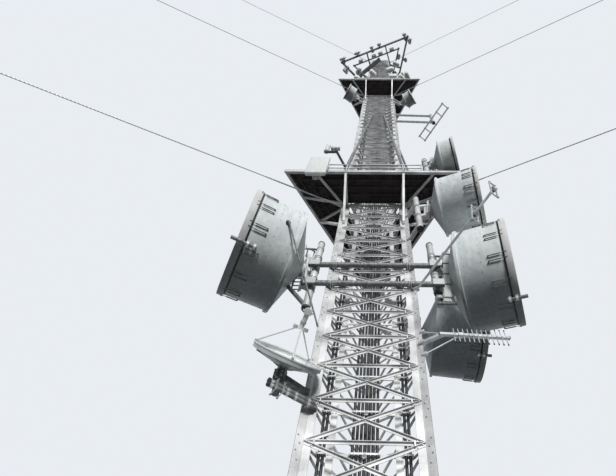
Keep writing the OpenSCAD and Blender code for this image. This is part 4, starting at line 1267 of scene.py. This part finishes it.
def head_frame_caps():
    """Plugs in the ends of the head frame's pipes and of its upright pipes."""
    bm = bmesh.new()
    for k, (turn, posts) in enumerate(zip(TURNS, POSTS)):
        side = turned(HEAD_TURN + turn, (0, 0, HEAD_Z + 3 * k))
        for way in (-1, 1):
            out = way * (side.to_3x3() @ RIGHT)
            x = way * (HEAD_SIDE / 2 + 30)
            for up in (-HEAD_H / 2, HEAD_H / 2):
                plug(bm, spot(side, x, -HEAD_Y, up), out, 8, 4, HEAD_PIPE_D + 3, 20)
            for x in posts:
                plug(bm, spot(side, x, POST_Y, way * (HEAD_TALL + 100) / 2), way * UP, 8, 4, POST_D + 3, 16)
            plug(bm, spot(side, way * INNER_Y * 1.8, -INNER_Y, -HEAD_H / 2), out, 8, 4, INNER_D + 3, 20)
    piece(bm, "head_frame_plugs", RUBBER)


foundation()
for leg_name, leg_az in zip(("leg_front_left", "leg_front_right", "leg_rear"), LEGS):
    leg_bolts(leg_name, leg_az)
leg_edge_shade_lines()
for face_name, face_turn in zip(("front", "right", "left"), TURNS):
    bracing_fittings(face_name, face_turn)
cable_clamps()
for platform, height in (("lower", LOW_Z), ("upper", HIGH_Z)):
    platform_joists(platform, height)
    platform_fittings(platform, height)
for guy, height, pin_step in (("low", LOW_Z, -1), ("middle", HIGH_Z, 0), ("top", TOP_Z, 1)):
    guy_fittings(guy, height, pin_step)
anchors()
drums()
drum_tube_fittings()
small_dish()
twin_tube_fittings()
rod_antenna()
loop_antenna()
panel_antenna()
side_radomes()
side_frame()
platform_strut_bolts()
mast_antennas()
cross_boom()
head_antennas()
head_units()
head_frame_caps()


# Floor, light and camera

SUN_AZ = -79
SUN_RISE = 17
SUN_ANGLE = 15
SUN_POWER = 3.2
FLOOR_R = 60


def stage_floor():
    """A plain pale floor with a faint light of its own, which diffuse light sees as dark."""
    bpy.ops.mesh.primitive_circle_add(vertices=96, radius=FLOOR_R, fill_type="NGON", location=(0, 0, 0))
    floor = bpy.context.object
    floor.name = "floor"
    material, tree, shader = new_finish("pale_floor", 0.9, 0.0, "#E4E6E7")[:3]
    shader.inputs["Emission Color"].default_value = colour("#E9EDF2")
    shader.inputs["Emission Strength"].default_value = 0.4
    dark = add(tree, "ShaderNodeBsdfDiffuse", Color=colour("#4E5052"))
    path = add(tree, "ShaderNodeLightPath")
    mixed = add(tree, "ShaderNodeMixShader", i0=path.outputs["Is Diffuse Ray"], i1=shader.outputs[0],
                i2=dark.outputs[0])
    tree.links.new(mixed.outputs[0], tree.nodes["Material Output"].inputs["Surface"])
    floor.data.materials.append(material)


def backdrop():
    """A pale backdrop for the camera and reflections, and a softer fill for diffuse light."""
    world = bpy.data.worlds.new("studio")
    bpy.context.scene.world = world
    world.use_nodes = True
    tree = world.node_tree
    fill = tree.nodes["Background"]
    fill.inputs["Color"].default_value = colour("#D6DEE8")
    fill.inputs["Strength"].default_value = 0.18
    seen = add(tree, "ShaderNodeBackground", Color=colour("#E9EDF2"), Strength=1.0)
    path = add(tree, "ShaderNodeLightPath")
    sharp = add(tree, "ShaderNodeMath", {"operation": "MAXIMUM"}, i0=path.outputs["Is Glossy Ray"],
                i1=path.outputs["Is Transmission Ray"])
    both = add(tree, "ShaderNodeMath", {"operation": "MAXIMUM"}, i0=path.outputs["Is Camera Ray"],
               i1=sharp.outputs[0])
    mixed = add(tree, "ShaderNodeMixShader", i0=both.outputs[0], i1=fill.outputs[0], i2=seen.outputs[0])
    tree.links.new(mixed.outputs[0], tree.nodes["World Output"].inputs["Surface"])


def sun():
    """One soft key light from the front and the right."""
    data = bpy.data.lights.new("key", "SUN")
    data.energy = SUN_POWER
    data.angle = math.radians(SUN_ANGLE)
    lamp = bpy.data.objects.new("key", data)
    lamp.matrix_world = aim((0, 0, 30), toward(SUN_AZ, SUN_RISE))
    bpy.context.scene.collection.objects.link(lamp)


# Where the photograph was taken from, in metres, its directions to the right and ahead, its focal
# length and width in pixels, and how far its middle lies off the camera's axis, as shares of that width

F_PX = 430
FRAME_W = 616
SHIFT_X = -0.0952
SHIFT_Y = 0.1631
SENSOR_W = 36
CAMERA_AT = Vector((0.055, -1.863, 0.799))
CAMERA_RIGHT = Vector((0.9996, 0.003, 0.0295))
CAMERA_LOOK = Vector((-0.0251, 0.6149, 0.7882))


def set_camera():
    """The camera of the photograph, looking up at the model from in front of its base."""
    right = CAMERA_RIGHT.normalized()
    look = (CAMERA_LOOK - CAMERA_LOOK.dot(right) * right).normalized()
    up = right.cross(look)
    data = bpy.data.cameras.new("camera")
    data.sensor_width = SENSOR_W
    data.lens = SENSOR_W * F_PX / FRAME_W
    data.shift_x = SHIFT_X
    data.shift_y = SHIFT_Y
    data.clip_end = 200
    camera = bpy.data.objects.new("camera", data)
    turn = Matrix((right, up, -look)).transposed().to_4x4()
    camera.matrix_world = Matrix.Translation(CAMERA_AT) @ turn
    bpy.context.scene.collection.objects.link(camera)
    bpy.context.scene.camera = camera


stage_floor()
backdrop()
sun()
set_camera()
bpy.context.scene.view_settings.view_transform = "Standard"
